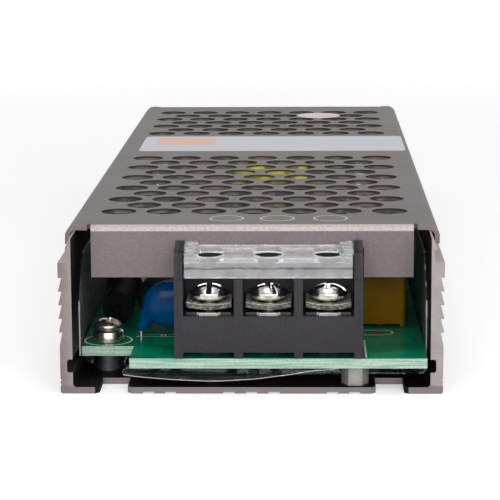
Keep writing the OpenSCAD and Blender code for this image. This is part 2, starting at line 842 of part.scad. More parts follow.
// Disc body standing on edge, facing along Y, with leads under it
module disc(d, t, lift) {
    translate([0, 0, lift + d / 2]) rotate([90, 0, 0]) rotate_extrude() {
        translate([0, -t / 2]) square([d / 2 - t / 2, t]);
        translate([d / 2 - t / 2, 0]) intersection() {
            circle(t / 2);
            translate([-eps, -t]) square([t, 2 * t]);
        }
    }
}

module thermistor() {
    color("#2c3030") {
        on_board(thermistor_at) disc(thermistor_d, thermistor_t, disc_lift);
        leads(thermistor_leads, disc_lift + thermistor_d / 2);
    }
}

module safety_capacitors() {
    color("#0a5a9c") {
        on_board(disc_front) disc(disc_d, disc_t, disc_lift);
        on_board(disc_mid) rotate(90) disc(disc_d, disc_t, disc_lift);
        leads(disc_leads, disc_lift + disc_d / 2);
    }
}

// Moulded box with rounded upright corners
module rounded_box(size, r) {
    linear_extrude(size[2]) {
        square([size[0] - 2 * r, size[1]], center = true);
        square([size[0], size[1] - 2 * r], center = true);
        for (sx = [-1, 1], sy = [-1, 1])
            translate([sx * (size[0] / 2 - r), sy * (size[1] / 2 - r)]) circle(r);
    }
}

module film_capacitor() {
    stand = 0.4;
    color("#b8901c") {
        on_board(film_cap_at) difference() {
            rounded_box(film_cap_size, 0.6);
            cube([film_cap_size[0] - 1.6, film_cap_size[1] + 1, 2 * stand], center = true);
        }
        leads(film_cap_leads, stand + 1);
    }
}

// Rectangular ferrite frame of the mains filter choke, standing across the case
module filter_choke_core() {
    color("#35343a") on_board(choke_at) translate([0, 0, choke_coil_t / 2 + 0.5]) difference() {
        translate([-choke_size[0] / 2, -choke_leg / 2, choke_coil_t / 2])
            cube([choke_size[0], choke_leg, choke_size[2] - 2 * choke_coil_t]);
        translate([-choke_size[0] / 2 + choke_leg, -choke_leg, choke_coil_t / 2 + choke_leg / 2])
            cube([choke_size[0] - 2 * choke_leg, 2 * choke_leg, choke_size[2] - 2 * choke_coil_t - choke_leg]);
    }
}

// Two bobbins of wire on the choke's upright legs, with pins
module filter_choke_windings() {
    bobbin = choke_leg + 2 * choke_coil_t;
    leg_h = choke_size[2] - 2 * choke_coil_t - choke_leg;
    low = choke_coil_t + 0.5 + choke_leg / 2;
    color("#9c5a2c") {
        for (s = [-1, 1]) on_board([choke_at[0] + s * (choke_size[0] - choke_leg) / 2, choke_at[1]])
            difference() {
                union() {
                    translate([0, 0, low + bobbin_gap]) cylinder(d = bobbin - 1, h = leg_h - 2 * bobbin_gap);
                    for (z = [low + bobbin_gap, low + leg_h - bobbin_gap - bobbin_t])
                        translate([0, 0, z]) cylinder(d = bobbin, h = bobbin_t);
                }
                translate([0, 0, low + leg_h / 2])
                    cube([choke_leg + 2 * bobbin_gap, choke_leg + 2 * bobbin_gap, 2 * leg_h], center = true);
            }
        leads(choke_leads, low + bobbin_gap + eps);
    }
}

module bridge_rectifier() {
    color("#2b2b2e") {
        on_board(bridge_at) difference() {
            translate([0, 0, bridge_lift]) rounded_box(bridge_size, 0.5);
            translate([bridge_size[0] / 2, bridge_size[1] / 2, bridge_lift + bridge_size[2]])
                rotate([0, 45, 0]) cube([2, 6, 2], center = true);
        }
        leads(bridge_leads, bridge_lift + 1);
    }
}

// Can with a rolled bead near its open end, standing on that end
module can(d, h) {
    bead_z = d * 0.14;
    rim = d * 0.04;
    rotate_extrude() difference() {
        union() {
            translate([0, rim]) square([d / 2, h - 2 * rim]);
            square([d / 2 - rim, h]);
            for (z = [rim, h - rim]) translate([d / 2 - rim, z]) circle(rim);
        }
        translate([d / 2 + bead_depth / 2, bead_z]) circle(bead_depth);
    }
}

// Large capacitors lying on the board with their leads formed down
module bulk_capacitors() {
    axis_z = bulk_d / 2 + 0.2;
    color("#26262a") {
        for (at = bulk_at) on_board([at[0], at[1] - bulk_len / 2])
            translate([0, 0, axis_z]) {
                rotate([-90, 0, 0]) can(bulk_d, bulk_len);
                for (s = [-1, 1]) translate([s * bulk_pitch / 2, 0, 0])
                    rotate([90, 0, 0]) translate([0, 0, -1]) cylinder(d = lead_d, h = bulk_bend + 1 + lead_d / 2);
            }
        leads(bulk_leads, axis_z);
    }
}

module bleed_resistors() {
    axis_z = bleed_d / 2 + 0.6;
    color("#c8b48a") {
        for (at = bleed_at) on_board(at) translate([0, 0, axis_z]) rotate([90, 0, 0]) {
            cylinder(d = bleed_d - 0.4, h = bleed_len - 1, center = true);
            for (s = [-1, 1]) translate([0, 0, s * (bleed_len / 2 - 1)])
                cylinder(d = bleed_d, h = 2, center = true);
            cylinder(d = lead_d, h = bleed_span + lead_d, center = true);
        }
        leads(bleed_leads, axis_z);
    }
}

// Upright aluminium plate by the edge of the board, on the side given
module heatsink(side, d) {
    translate([side * sink_x, from_front(d + sink_len / 2), board_z]) difference() {
        translate([0, 0, sink_h / 2]) cube([sink_t, sink_len, sink_h], center = true);
        translate([0, 0, tab_lift + tab_hole_z]) rotate([0, 90, 0])
            cylinder(d = screw_d + thread_gap, h = 3 * sink_t, center = true);
    }
}

module primary_heatsink() {
    color("#b4b2ae") heatsink(-1, sink_primary_d);
}

module secondary_heatsink() {
    color("#b4b2ae") heatsink(1, sink_secondary_d);
}

// Tab package standing against a heatsink: metal tab, moulded case and three leads
module tab_package(side, d) {
    face = sink_x - sink_t / 2 - pad_t;
    translate([side * face, from_front(d + sink_len / 2), board_z + tab_lift]) scale([side, 1, 1]) difference() {
        union() {
            translate([-tab_t, -tab_w / 2, 0]) cube([tab_t, tab_w, tab_h]);
            translate([-case_t, -tab_w / 2, 0]) cube([case_t - eps, tab_w, case_h]);
        }
        translate([0, 0, tab_hole_z]) rotate([0, 90, 0]) cylinder(d = tab_hole_d, h = 3 * tab_t, center = true);
    }
    leads(tab_leads(side, d), tab_lift + 1);
}

module power_transistor() {
    color("#2e2e31") tab_package(-1, sink_primary_d);
}

module output_rectifier() {
    color("#2e2e31") tab_package(1, sink_secondary_d);
}

// Soft insulating pads between the tabs and the heatsinks
module thermal_pads() {
    color("#9fa7ad") for (p = [[-1, sink_primary_d], [1, sink_secondary_d]])
        translate([p[0] * (sink_x - sink_t / 2 - pad_t / 2), from_front(p[1] + sink_len / 2),
                   board_z + tab_lift + tab_h / 2])
            difference() {
                cube([pad_t, tab_w + 0.6, tab_h], center = true);
                translate([0, 0, tab_hole_z - tab_h / 2]) rotate([0, 90, 0])
                    cylinder(d = tab_hole_d, h = 3, center = true);
            }
}

module tab_screws() {
    color("#c9c7c3") for (p = [[-1, sink_primary_d], [1, sink_secondary_d]])
        translate([p[0] * (sink_x - sink_t / 2 - pad_t - tab_t), from_front(p[1] + sink_len / 2),
                   board_z + tab_lift + tab_hole_z])
            rotate([0, -90 * p[0], 0]) small_screw(tab_t + pad_t + sink_t);
}

// Height of the middle of the transformer's core above the board
core_z = rail_h + bobbin_gap + core_h / 2;

module transformer_core() {
    window = core_len - 2 * core_yoke;
    color("#3a393d") on_board(trafo_at) translate([0, 0, core_z]) {
        difference() {
            cube([core_w, core_len, core_h], center = true);
            cube([core_w - 2 * core_leg, window, core_h + 1], center = true);
        }
        cube([core_mid, core_len - eps, core_mid], center = true);
    }
}

// Coil former: tube on the middle leg, end cheeks and two pin rails
module transformer_bobbin() {
    window = core_len - 2 * core_yoke - 2 * bobbin_gap;
    tube = core_mid + 2 * bobbin_gap + 2 * bobbin_t;
    color("#1f2a24") {
        on_board(trafo_at) {
            difference() {
                translate([0, 0, core_z]) {
                    cube([tube, window, tube], center = true);
                    for (s = [-1, 1]) translate([0, s * (window - bobbin_t) / 2, 0])
                        cube([coil_w + 1.6, bobbin_t, coil_h], center = true);
                }
                translate([0, 0, core_z])
                    cube([core_mid + 2 * bobbin_gap, core_len, core_mid + 2 * bobbin_gap], center = true);
            }
            for (s = [-1, 1]) {
                translate([-core_w / 2, s * (core_len - rail_len) / 2 - rail_len / 2, 0])
                    cube([core_w, rail_len, rail_h]);
                translate([-coil_w / 2, s > 0 ? window / 2 - bobbin_t : -core_len / 2 + eps, rail_h - 1.2])
                    cube([coil_w, core_len / 2 - window / 2 + bobbin_t - eps, 1.2]);
            }
        }
        leads(trafo_leads, 1);
    }
}

// Wound coil under its tape, a rounded sleeve round the former's tube
module transformer_winding() {
    tube = core_mid + 4 * bobbin_gap + 2 * bobbin_t;
    len = core_len - 2 * core_yoke - 4 * bobbin_gap - 2 * bobbin_t;
    color("#d9cf4a") on_board(trafo_at) translate([0, 0, core_z]) difference() {
        rotate([90, 0, 0]) translate([0, 0, -len / 2]) rounded_box([coil_w, coil_h - 0.4, len], coil_r);
        cube([tube, core_len, tube], center = true);
    }
}

// Stiff white sheet on edge between the transformer and the output side
module barrier_sheet() {
    color("#e6e4dc") on_board(barrier_at) rounded_box(barrier_size, 0.1);
}

module output_choke_core() {
    color("#3d5a4c") on_board(ring_at) translate([0, 0, ring_core_r + ring_wire_d + ring_gap])
        rotate_extrude() translate([ring_r, 0]) circle(ring_core_r);
}

// Turns of enamelled wire round the ring core, with two straight tails
module output_choke_winding() {
    loop_r = ring_core_r + ring_gap + ring_wire_d / 2;
    axis_z = ring_core_r + ring_wire_d + ring_gap;
    color("#a85c2a") {
        on_board(ring_at) translate([0, 0, axis_z])
            for (i = [0:ring_turns - 1])
                rotate(i * 360 / ring_turns) translate([ring_r, 0, 0]) rotate([90, 0, 0])
                    rotate_extrude() translate([loop_r, 0]) circle(d = ring_wire_d, $fn = 18);
        leads(ring_leads, axis_z);
    }
}

module output_capacitors() {
    color("#27303f") {
        for (at = out_cap_at) on_board(at) translate([0, 0, 0.2]) can(out_cap_d, out_cap_h);
        leads(out_cap_leads, 1);
    }
}

module optocoupler() {
    color("#ddd8cc") {
        on_board(opto_at) translate([0, 0, 0.5]) rounded_box(opto_size, 0.3);
        on_board(opto_at) for (sx = [-1, 1], sy = [-1, 1])
            translate([sx * (opto_size[0] / 2 + 0.2), sy * 1.27, 2.2])
                cube([2.2, lead_d, 0.4], center = true);
        leads(opto_leads, 2.4);
    }
}

// Surface chip with gull-wing legs soldered on the board
module control_chip() {
    color("#232325") on_board(chip_at) {
        translate([0, 0, 0.15]) rounded_box(chip_size, 0.2);
        for (sx = [-1, 1], i = [0:3]) translate([sx * chip_size[0] / 2, (i - 1.5) * 1.27, 0]) {
            translate([sx * 0.3, 0, 0.6]) cube([0.8, 0.4, 0.2], center = true);
            translate([sx * 0.6, 0, 0.35]) cube([0.2, 0.4, 0.7], center = true);
            translate([sx * 0.85, 0, 0.1]) cube([0.7, 0.4, 0.2], center = true);
        }
    }
}

module trimmer_body() {
    color("#2f5f9e") {
        on_board_rear(trimmer_at) difference() {
            rounded_box(trimmer_size, 0.5);
            translate([0, 0, trimmer_size[2] - trimmer_rotor_h])
                cylinder(d = trimmer_rotor_d + 2 * trimmer_gap, h = trimmer_rotor_h + 1);
        }
        leads(trimmer_leads, 1);
    }
}

// Turned rotor flush in the trimmer's well, with a screwdriver slot
module trimmer_rotor() {
    color("#e8e6df") on_board_rear(trimmer_at)
        translate([0, 0, trimmer_size[2] - trimmer_rotor_h + trimmer_gap]) difference() {
            cylinder(d = trimmer_rotor_d, h = trimmer_rotor_h);
            translate([0, 0, trimmer_rotor_h]) cube([0.7, trimmer_rotor_d + 1, 1.6], center = true);
        }
}

module indicator_led() {
    color("#3fae5a", 0.8) {
        on_board_rear(led_at) {
            cylinder(d = led_rim_d, h = 0.9);
            cylinder(d = led_d, h = led_h - led_d / 2);
            translate([0, 0, led_h - led_d / 2]) sphere(d = led_d);
        }
        leads(led_leads, 0.5);
    }
}

base_channel();
top_cover();
insulating_film();
circuit_board();
board_standoffs();
board_spacers();
board_screws();
lock_washers();
input_block();
input_contacts();
input_cover();
input_clamp(1);  // input_clamp_1
input_clamp(2);  // input_clamp_2
input_clamp(3);  // input_clamp_3
input_screw(1);  // input_screw_1
input_screw(2);  // input_screw_2
input_screw(3);  // input_screw_3
output_block();
output_contacts();
output_cover();
output_clamp(1);  // output_clamp_1
output_clamp(2);  // output_clamp_2
output_clamp(3);  // output_clamp_3
output_clamp(4);  // output_clamp_4
output_screw(1);  // output_screw_1
output_screw(2);  // output_screw_2
output_screw(3);  // output_screw_3
output_screw(4);  // output_screw_4
fuse();
thermistor();
safety_capacitors();
film_capacitor();
filter_choke_core();
filter_choke_windings();
bridge_rectifier();
bulk_capacitors();
bleed_resistors();
primary_heatsink();
secondary_heatsink();
power_transistor();
output_rectifier();
thermal_pads();
tab_screws();
transformer_core();
transformer_bobbin();
transformer_winding();
barrier_sheet();
output_choke_core();
output_choke_winding();
output_capacitors();
optocoupler();
control_chip();
trimmer_body();
trimmer_rotor();
indicator_led();
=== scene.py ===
# Looks of a slim LED power supply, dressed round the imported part.
# Lengths are in millimetres, but in metres for the floor, the lamps and the camera.
import json
import math

import bmesh
import bpy
from mathutils import Matrix, Vector, noise


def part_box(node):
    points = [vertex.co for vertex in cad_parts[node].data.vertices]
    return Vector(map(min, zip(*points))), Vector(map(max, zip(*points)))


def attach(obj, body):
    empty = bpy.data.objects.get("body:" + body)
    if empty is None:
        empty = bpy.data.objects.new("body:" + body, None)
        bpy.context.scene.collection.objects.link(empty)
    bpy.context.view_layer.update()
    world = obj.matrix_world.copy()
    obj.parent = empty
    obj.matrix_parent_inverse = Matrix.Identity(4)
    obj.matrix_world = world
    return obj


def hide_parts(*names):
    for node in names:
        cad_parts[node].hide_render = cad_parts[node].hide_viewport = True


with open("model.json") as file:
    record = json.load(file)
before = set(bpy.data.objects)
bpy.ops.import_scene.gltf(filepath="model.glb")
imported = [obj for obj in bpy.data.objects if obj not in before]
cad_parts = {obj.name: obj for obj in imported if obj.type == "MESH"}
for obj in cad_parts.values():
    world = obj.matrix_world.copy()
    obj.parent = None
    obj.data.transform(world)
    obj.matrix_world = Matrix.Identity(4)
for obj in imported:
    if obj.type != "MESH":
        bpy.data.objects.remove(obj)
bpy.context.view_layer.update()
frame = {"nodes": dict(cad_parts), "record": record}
mm = 0.001
bodyOf = {n: b for b, names in frame["record"]["behaviour"]["bodies"].items() for n in names}
slotOf = {s["node"]: s["material_slot"] for s in frame["record"]["subparts"]}
print("frame loaded:", len(frame["nodes"]), "nodes")


# A socket that does sums: each operator adds a Math node
class Wire:
    def __init__(self, tree, socket=None):
        self.tree, self.socket = tree, socket

    def node(self, kind, settings=None, sockets=None, out=0):
        made = self.tree.nodes.new("ShaderNode" + kind)
        for name, value in (settings or {}).items():
            setattr(made, name, value)
        for name, value in (sockets or {}).items():
            if isinstance(value, Wire):
                self.tree.links.new(value.socket, made.inputs[name])
            else:
                made.inputs[name].default_value = value
        return Wire(self.tree, made.outputs[out])

    def math(self, operation, *values):
        return self.node("Math", {"operation": operation}, dict(enumerate(values)))

    def __add__(self, other): return self.math("ADD", self, other)
    def __radd__(self, other): return self.math("ADD", other, self)
    def __sub__(self, other): return self.math("SUBTRACT", self, other)
    def __rsub__(self, other): return self.math("SUBTRACT", other, self)
    def __mul__(self, other): return self.math("MULTIPLY", self, other)
    def __rmul__(self, other): return self.math("MULTIPLY", other, self)
    def __or__(self, other): return self.math("MAXIMUM", self, other)
    def __ror__(self, other): return self.math("MAXIMUM", other, self)
    def __abs__(self): return self.math("ABSOLUTE", self)


def tone(red, green, blue):  # a colour as a paint program shows it, 0 to 255
    def straight(c):
        c /= 255
        return c / 12.92 if c <= 0.04045 else ((c + 0.055) / 1.055) ** 2.4
    return straight(red), straight(green), straight(blue), 1.0


def axes(p):
    parts = p.node("SeparateXYZ", {}, {"Vector": p}).socket.node.outputs
    return [Wire(p.tree, s) for s in parts]


def facing(p):  # the surface's own direction, in the piece's frame
    return axes(p.node("TexCoord", out="Normal"))


def stretch(p, x, y, z):
    return p.node("VectorMath", {"operation": "MULTIPLY"}, {0: p, 1: (x, y, z)})


def cloud(p, size, detail=2.0, rough=0.5):
    return p.node("TexNoise", {}, {"Vector": p, "Scale": 1 / size, "Detail": detail, "Roughness": rough})


def ramp(value, low, high, start=0.0, end=1.0):
    return value.node("MapRange", {"interpolation_type": "SMOOTHSTEP"},
                      {"Value": value, "From Min": low, "From Max": high, "To Min": start, "To Max": end})


def band(value, low, high, soft=0.05):
    return ramp(value, low - soft, low + soft) * ramp(value, high + soft, high - soft)


def away(p, x, y):  # distance from an upright line
    return p.node("VectorMath", {"operation": "DISTANCE"}, {0: stretch(p, 1, 1, 0), 1: (x, y, 0)}, "Value")


def sine(value):
    return value.math("SINE", value)


def ringMark(p, x, y, radius, line):
    return ramp(abs(away(p, x, y) - radius), line + 0.05, line)


def tint(mask, under, over):
    return mask.node("Mix", {"data_type": "RGBA"}, {0: mask, 6: under, 7: over}, 2)


def relief(height, depth):
    return height.node("Bump", {}, {"Height": height, "Distance": depth * mm, "Strength": 1.0})


def finish(name, build, constants=None):
    material = bpy.data.materials.new(name)
    material.use_nodes = True
    tree = material.node_tree
    shader = tree.nodes["Principled BSDF"]
    for socket, value in (constants or {}).items():
        shader.inputs[socket].default_value = value
    metres = Wire(tree).node("TexCoord", out="Object")
    p = metres.node("VectorMath", {"operation": "SCALE"}, {0: metres, "Scale": 1 / mm})
    for socket, value in build(p).items():
        tree.links.new(value.socket, shader.inputs[socket])
    return material


# Folded cover: fine textured champagne grey paint, painted light on the upright flanges and a painted
# highlight along the bends, three printed rings, painted shade on the upper vent walls, and a painted
# yellow reflection of the taped transformer on the vent walls in front of it
coverLook = {"dark": tone(87, 83, 82), "pale": tone(114, 109, 107), "flake": tone(160, 152, 149),
             "flangeLitDark": tone(118, 109, 108), "flangeLitPale": tone(133, 123, 122),
             "flangeAt": (84.9, 85.2), "flangeHalf": 25.9, "sheet": (25.0, 25.8),
             "bend": tone(190, 178, 174), "bendAt": (84.4, 84.75), "bendFrom": (24.7, 25.0),
             "print": tone(196, 190, 187), "ringAt": [(-4.3, -78.7), (4.0, -78.7), (12.7, -78.7)],
             "ringSize": 2.7, "ringLine": 0.13,
             "ventShade": tone(50, 47, 44), "ventWall": tone(122, 112, 102), "ventField": (27.0, 81.0),
             "tape": tone(206, 198, 44), "tapeX": (-4.8, 8.8), "tapeY": (-36.0, -12.0)}


def coverPaint(p):
    x, y, z = axes(p)
    ny, nz = facing(p)[1:]
    half, (ventX, ventY) = coverLook["flangeHalf"], coverLook["ventField"]
    under, over = coverLook["sheet"]
    upright = ramp(abs(y), *coverLook["flangeAt"])
    bent = ramp(abs(y), *coverLook["bendAt"]) * ramp(z, *coverLook["bendFrom"])
    bent = bent * ramp(abs(x), half + 0.2, half)
    punched = ramp(abs(nz), 0.6, 0.3) * ramp(abs(x), ventX + 0.2, ventX) * ramp(abs(y), ventY + 0.2, ventY)
    low = ramp(z, over - 0.15, under + 0.2)
    overTape = band(x, *coverLook["tapeX"], 0.4) * band(y, *coverLook["tapeY"], 0.4)
    glow = overTape * low * ramp(ny, 0.1, -0.3)
    grain, flake, patch = cloud(p, 0.22, 2.0), cloud(p, 0.1, 1.0), cloud(p, 14.0, 2.0)
    top = tint(ramp(grain, 0.3, 0.7), coverLook["dark"], coverLook["pale"])
    # painted light: the upright flanges get a lighter copy of the top paint
    front = tint(ramp(grain, 0.3, 0.7), coverLook["flangeLitDark"], coverLook["flangeLitPale"])
    colour = tint(upright, top, front)
    colour = tint(ramp(flake, 0.64, 0.8) * (0.35 - upright * 0.2), colour, coverLook["flake"])
    colour = tint(ramp(patch, 0.4, 0.7) * 0.15, colour, coverLook["dark"])
    # painted highlight: brighter paint along the bend, where the paint is also made smoother
    colour = tint(bent * ramp(cloud(p, 0.26, 2.0), 0.35, 0.6, 0.6, 1.0), colour, coverLook["bend"])
    blotch = ramp(cloud(p, 2.6, 1.0), 0.35, 0.55, 0.3, 1.0)
    # painted shade on the upper part of the vent walls, with a lighter wall colour lower down
    wall = tint(low * blotch, coverLook["ventShade"], coverLook["ventWall"])
    # painted yellow reflection of the taped transformer on the lower vent walls that face the front
    wall = tint(glow * blotch, wall, coverLook["tape"])
    colour = tint(punched, colour, wall)
    printed = None
    for cx, cy in coverLook["ringAt"]:
        ring = ringMark(p, cx, cy, coverLook["ringSize"], coverLook["ringLine"])
        printed = ring if printed is None else printed | ring
    printed = printed * ramp(z, over - 0.2, over - 0.1) * ramp(cloud(p, 0.7, 2.0), 0.3, 0.45, 0.45, 1.0)
    return {"Base Color": tint(printed, colour, coverLook["print"]),
            "Roughness": 0.47 + grain * 0.14 + patch * 0.06 - bent * 0.12,
            "Normal": relief(grain * 0.7 + flake * 0.3, 0.03)}


# Extruded channel: satin skin with die lines, saw marks on the cut ends, painted shade on the inner walls
# and floor and on the left cut end
channelLook = {"skin": tone(156, 148, 145), "skinDark": tone(134, 127, 124), "cut": tone(153, 146, 144),
               "cutDark": tone(141, 134, 132), "cutShade": tone(104, 98, 97), "shadeAt": (-27.0, -30.5),
               "sole": tone(114, 108, 106), "soleAt": (1.6, 1.0),
               "insideShade": tone(15, 15, 16), "wallAt": (30.0, 29.2), "floorAt": (2.2, 1.6)}


def channelMetal(p):
    x, z = axes(p)[::2]
    nx, ny, nz = facing(p)
    cut = ramp(abs(ny), 0.6, 0.9)
    inward = ramp(x * nx, -2.0, -8.0) * ramp(abs(x), *channelLook["wallAt"])
    inward = inward | ramp(nz, 0.5, 0.8) * ramp(z, *channelLook["floorAt"])
    die = cloud(stretch(p, 5, 0.02, 5), 1.0, 3.0)
    saw = cloud(stretch(p, 1.2, 1, 11), 1.0, 3.0, 0.6)
    stainAndShade, pit = cloud(p, 3.2, 3.0), cloud(p, 0.16, 1.0)
    skin = tint(ramp(die, 0.35, 0.65), channelLook["skinDark"], channelLook["skin"])
    # painted shade: the inward faces of the walls and the top of the floor are made nearly black
    skin = tint(inward * 0.97, skin, channelLook["insideShade"])
    bare = tint(ramp(saw * 0.5 + stainAndShade * 0.5, 0.35, 0.65), channelLook["cutDark"], channelLook["cut"])
    shade = ramp(x, *channelLook["shadeAt"]) * ramp(stainAndShade, 0.3, 0.6, 0.4, 0.75)
    bare = tint(shade, bare, channelLook["cutShade"])
    bare = tint(ramp(z, *channelLook["soleAt"]) * 0.85, bare, channelLook["sole"])
    return {"Base Color": tint(cut, skin, bare),
            "Roughness": 0.38 + die * 0.14 + cut * 0.08 + inward * 0.12 + ramp(pit, 0.6, 0.8) * 0.1,
            "Normal": relief(die * (1 - cut) + saw * cut * 0.5 + pit * 0.4, 0.02)}


# Board: green mask over poured copper, white print, pale layered laminate on the cut edges
boardLook = {"mask": tone(0, 138, 98), "maskDeep": tone(0, 120, 84), "print": tone(214, 226, 216),
             "laminate": tone(186, 212, 194), "laminateDark": tone(138, 176, 154),
             "copper": tone(128, 88, 54), "padAt": (20.6, -74.3),
             "screwAt": [(-24.0, -80.0), (24.0, 80.0)], "screwRing": 3.9, "line": 0.13,
             "outlineX": (-19.6, -8.0), "outlineY": (-77.5, -77.25), "faintY": (-76.0, -75.8),
             "ticksX": [(-15.5, -15.25), (-14.9, -14.65)], "ticksY": (-77.4, -75.6),
             "slotX": (10.0, 21.4), "slotY": -74.3, "slotHalf": 1.8,
             "borderX": (18.1, 18.4), "borderY": (-92.4, -80.0),
             "blocks": [(-12.2, 17.7, -80.0), (-21.4, 19.2, 80.0)]}


def boardLaminate(p):
    x, y = axes(p)[:2]
    nz = facing(p)[2]
    edge = ramp(abs(nz), 0.8, 0.4)
    line, fine, slotEnd = boardLook["line"], 0.04, boardLook["slotX"][1]
    pour = p.node("TexVoronoi", {"distance": "CHEBYCHEV"}, {"Vector": p, "Scale": 0.13, "Randomness": 0.85})
    tracks = ramp(pour, 0.36, 0.4)
    layer = cloud(stretch(p, 0.12, 0.12, 4.5), 1.0, 2.0)
    weave = cloud(p, 0.4, 2.0)
    green = tint(tracks, boardLook["mask"], boardLook["maskDeep"])
    ring = ringMark(p, *boardLook["screwAt"][0], boardLook["screwRing"], line)
    ring = ring | ringMark(p, *boardLook["screwAt"][1], boardLook["screwRing"], line)
    outline = band(y, *boardLook["outlineY"], fine) | band(y, *boardLook["faintY"], fine) * 0.5
    outline = outline * band(x, *boardLook["outlineX"])
    ticks = band(x, *boardLook["ticksX"][0], fine) | band(x, *boardLook["ticksX"][1], fine)
    ticks = ticks * band(y, *boardLook["ticksY"])
    fromSide = abs(abs(y - boardLook["slotY"]) - boardLook["slotHalf"])
    slot = ramp(fromSide, line + 0.05, line) * band(x, *boardLook["slotX"])
    rounded = ringMark(p, slotEnd, boardLook["slotY"], boardLook["slotHalf"], line)
    slot = slot | rounded * ramp(x, slotEnd - 0.1, slotEnd + 0.1)
    border = band(x, *boardLook["borderX"], fine) * band(y, *boardLook["borderY"])
    printed = (ring | outline | ticks | slot | border) * ramp(cloud(p, 0.5, 2.0), 0.22, 0.34, 0.4, 1.0)
    for low, high, inner in boardLook["blocks"]:
        printed = printed | band(abs(y - inner), 0.0, line, 0.03) * band(x, low, high)
    pad = ramp(away(p, *boardLook["padAt"]), 1.0, 0.8)
    top = tint(printed * ramp(nz, 0.4, 0.8), tint(pad, green, boardLook["copper"]), boardLook["print"])
    fibre = ramp(layer * 0.7 + weave * 0.3, 0.36, 0.6)
    side = tint(fibre, boardLook["laminateDark"], boardLook["laminate"])
    return {"Base Color": tint(edge, top, side),
            "Roughness": 0.16 + edge * 0.45 + weave * 0.08 + printed * 0.2,
            "Normal": relief(tracks * 0.5 + printed * 0.5 + layer * edge * 1.2, 0.03)}


# Terminal block moulding: near black, fine spark grain, a few specks of dust, and painted shade inside the
# cells
blockLook = {"body": tone(54, 52, 56), "deep": tone(44, 42, 46), "dust": tone(138, 136, 140),
             "cell": tone(20, 19, 21), "front": 93.3, "sill": 13.0,
             "inputCells": (-11.6, 17.1), "outputCells": (-20.2, 18.0)}


def blockMoulding(p):
    x, y, z = axes(p)
    nearCells = band(x, *blockLook["inputCells"]) * ramp(y, 1.0, -1.0)
    farCells = band(x, *blockLook["outputCells"]) * ramp(y, -1.0, 1.0)
    inCells = (nearCells | farCells) * ramp(abs(y), blockLook["front"] - 0.3, blockLook["front"] - 1.0)
    inCells = inCells * ramp(z, blockLook["sill"] - 0.4, blockLook["sill"] + 0.2)
    grain, flow, dust = cloud(p, 0.2, 3.0), cloud(p, 6.0, 2.0), cloud(p, 0.3, 0.0)
    colour = tint(ramp(grain, 0.25, 0.75), blockLook["deep"], blockLook["body"])
    colour = tint(ramp(dust, 0.8, 0.84) * 0.25, colour, blockLook["dust"])
    # painted shade over the inside of each cell
    return {"Base Color": tint(inCells * 0.85, colour, blockLook["cell"]),
            "Roughness": 0.46 + grain * 0.14 + flow * 0.08,
            "Normal": relief(grain, 0.025)}


# Clear hinged covers: a hazy moulding with a painted highlight round the screw holes, dark where the inner
# shelf shows, with flow waves and handling marks
cellsAt = {-1: [-6.75, 2.75, 12.25], 1: [-15.35, -5.85, 3.65, 13.15]}  # middles of the cells, by end
lidLook = {"clear": (0.3, 0.29, 0.32, 1), "hazeAndRimHighlight": (1.0, 1.0, 1.0, 1), "shadow": (0.82, 0.81, 0.85, 1),
           "shelf": 20.1, "holeAt": 89.7, "hole": 2.5, "rim": 0.45}


def clearMoulding(p):
    z = axes(p)[2]
    wave, mark = cloud(p, 3.0, 2.0), cloud(stretch(p, 0.5, 3, 3), 0.6, 3.0)
    streak = cloud(stretch(p, 0.45, 0.8, 0.9), 1.0, 3.0)
    shelf = ramp(abs(z - lidLook["shelf"]), 0.24, 0.1) * ramp(mark, 0.4, 0.55)
    hazeAndRimHighlight = ramp(streak, 0.36, 0.56, 0.72, 1.0) - shelf
    # painted highlight: the moulding turns white in a ring round each screw hole
    for end, places in cellsAt.items():
        for cx in places:
            fromRim = abs(away(p, cx, end * lidLook["holeAt"]) - lidLook["hole"])
            hazeAndRimHighlight = hazeAndRimHighlight | ramp(fromRim, lidLook["rim"], 0.1)
    return {"Base Color": tint(hazeAndRimHighlight, lidLook["clear"], lidLook["hazeAndRimHighlight"]),
            "Roughness": 0.02 + ramp(mark, 0.6, 0.8) * 0.12,
            "Normal": relief(wave * 1.2 + streak * 0.5 + mark * 0.06, 0.07)}


# Nickel plate: bright screws with dull blushes and fine scratches, and serrated clamp plates
nickelLook = {"bright": (0.70, 0.67, 0.62, 1), "dull": (0.46, 0.43, 0.39, 1),
              "clampShadePale": (0.30, 0.28, 0.25, 1), "clampShadeDark": (0.06, 0.056, 0.05, 1), "teeth": 7.4}


def serratedPlate(p):  # stamped clamp plates, painted shade on their sides and a painted highlight on their upward faces
    x, nz = axes(p)[0], facing(p)[2]
    scuff, blush = cloud(stretch(p, 2.2, 1, 5), 1.0, 3.0, 0.65), cloud(p, 1.2, 2.0)
    teeth = sine(x * nickelLook["teeth"])
    # painted shade on the sides of the plates, mottled by scuffs
    rim = tint(ramp(scuff, 0.45, 0.7), nickelLook["clampShadeDark"], nickelLook["clampShadePale"])
    # painted highlight on the upward faces, broken by scuffs
    paintedTopHighlight = ramp(nz, 0.1, 0.4) * ramp(scuff, 0.3, 0.5, 0.5, 1.0)
    return {"Base Color": tint(paintedTopHighlight, rim, nickelLook["bright"]),
            "Roughness": 0.24 + scuff * 0.3,
            "Normal": relief(teeth * 0.5 + scuff + blush, 0.06)}


def nickelPlate(p):
    blush, scratch = cloud(p, 1.4, 3.0), cloud(stretch(p, 9, 1.2, 4), 1.0, 2.0)
    return {"Base Color": tint(ramp(blush, 0.35, 0.7), nickelLook["bright"], nickelLook["dull"]),
            "Roughness": 0.08 + ramp(blush, 0.45, 0.8) * 0.14 + ramp(scratch, 0.62, 0.75) * 0.1,
            "Normal": relief(scratch * 0.2 + blush, 0.05)}


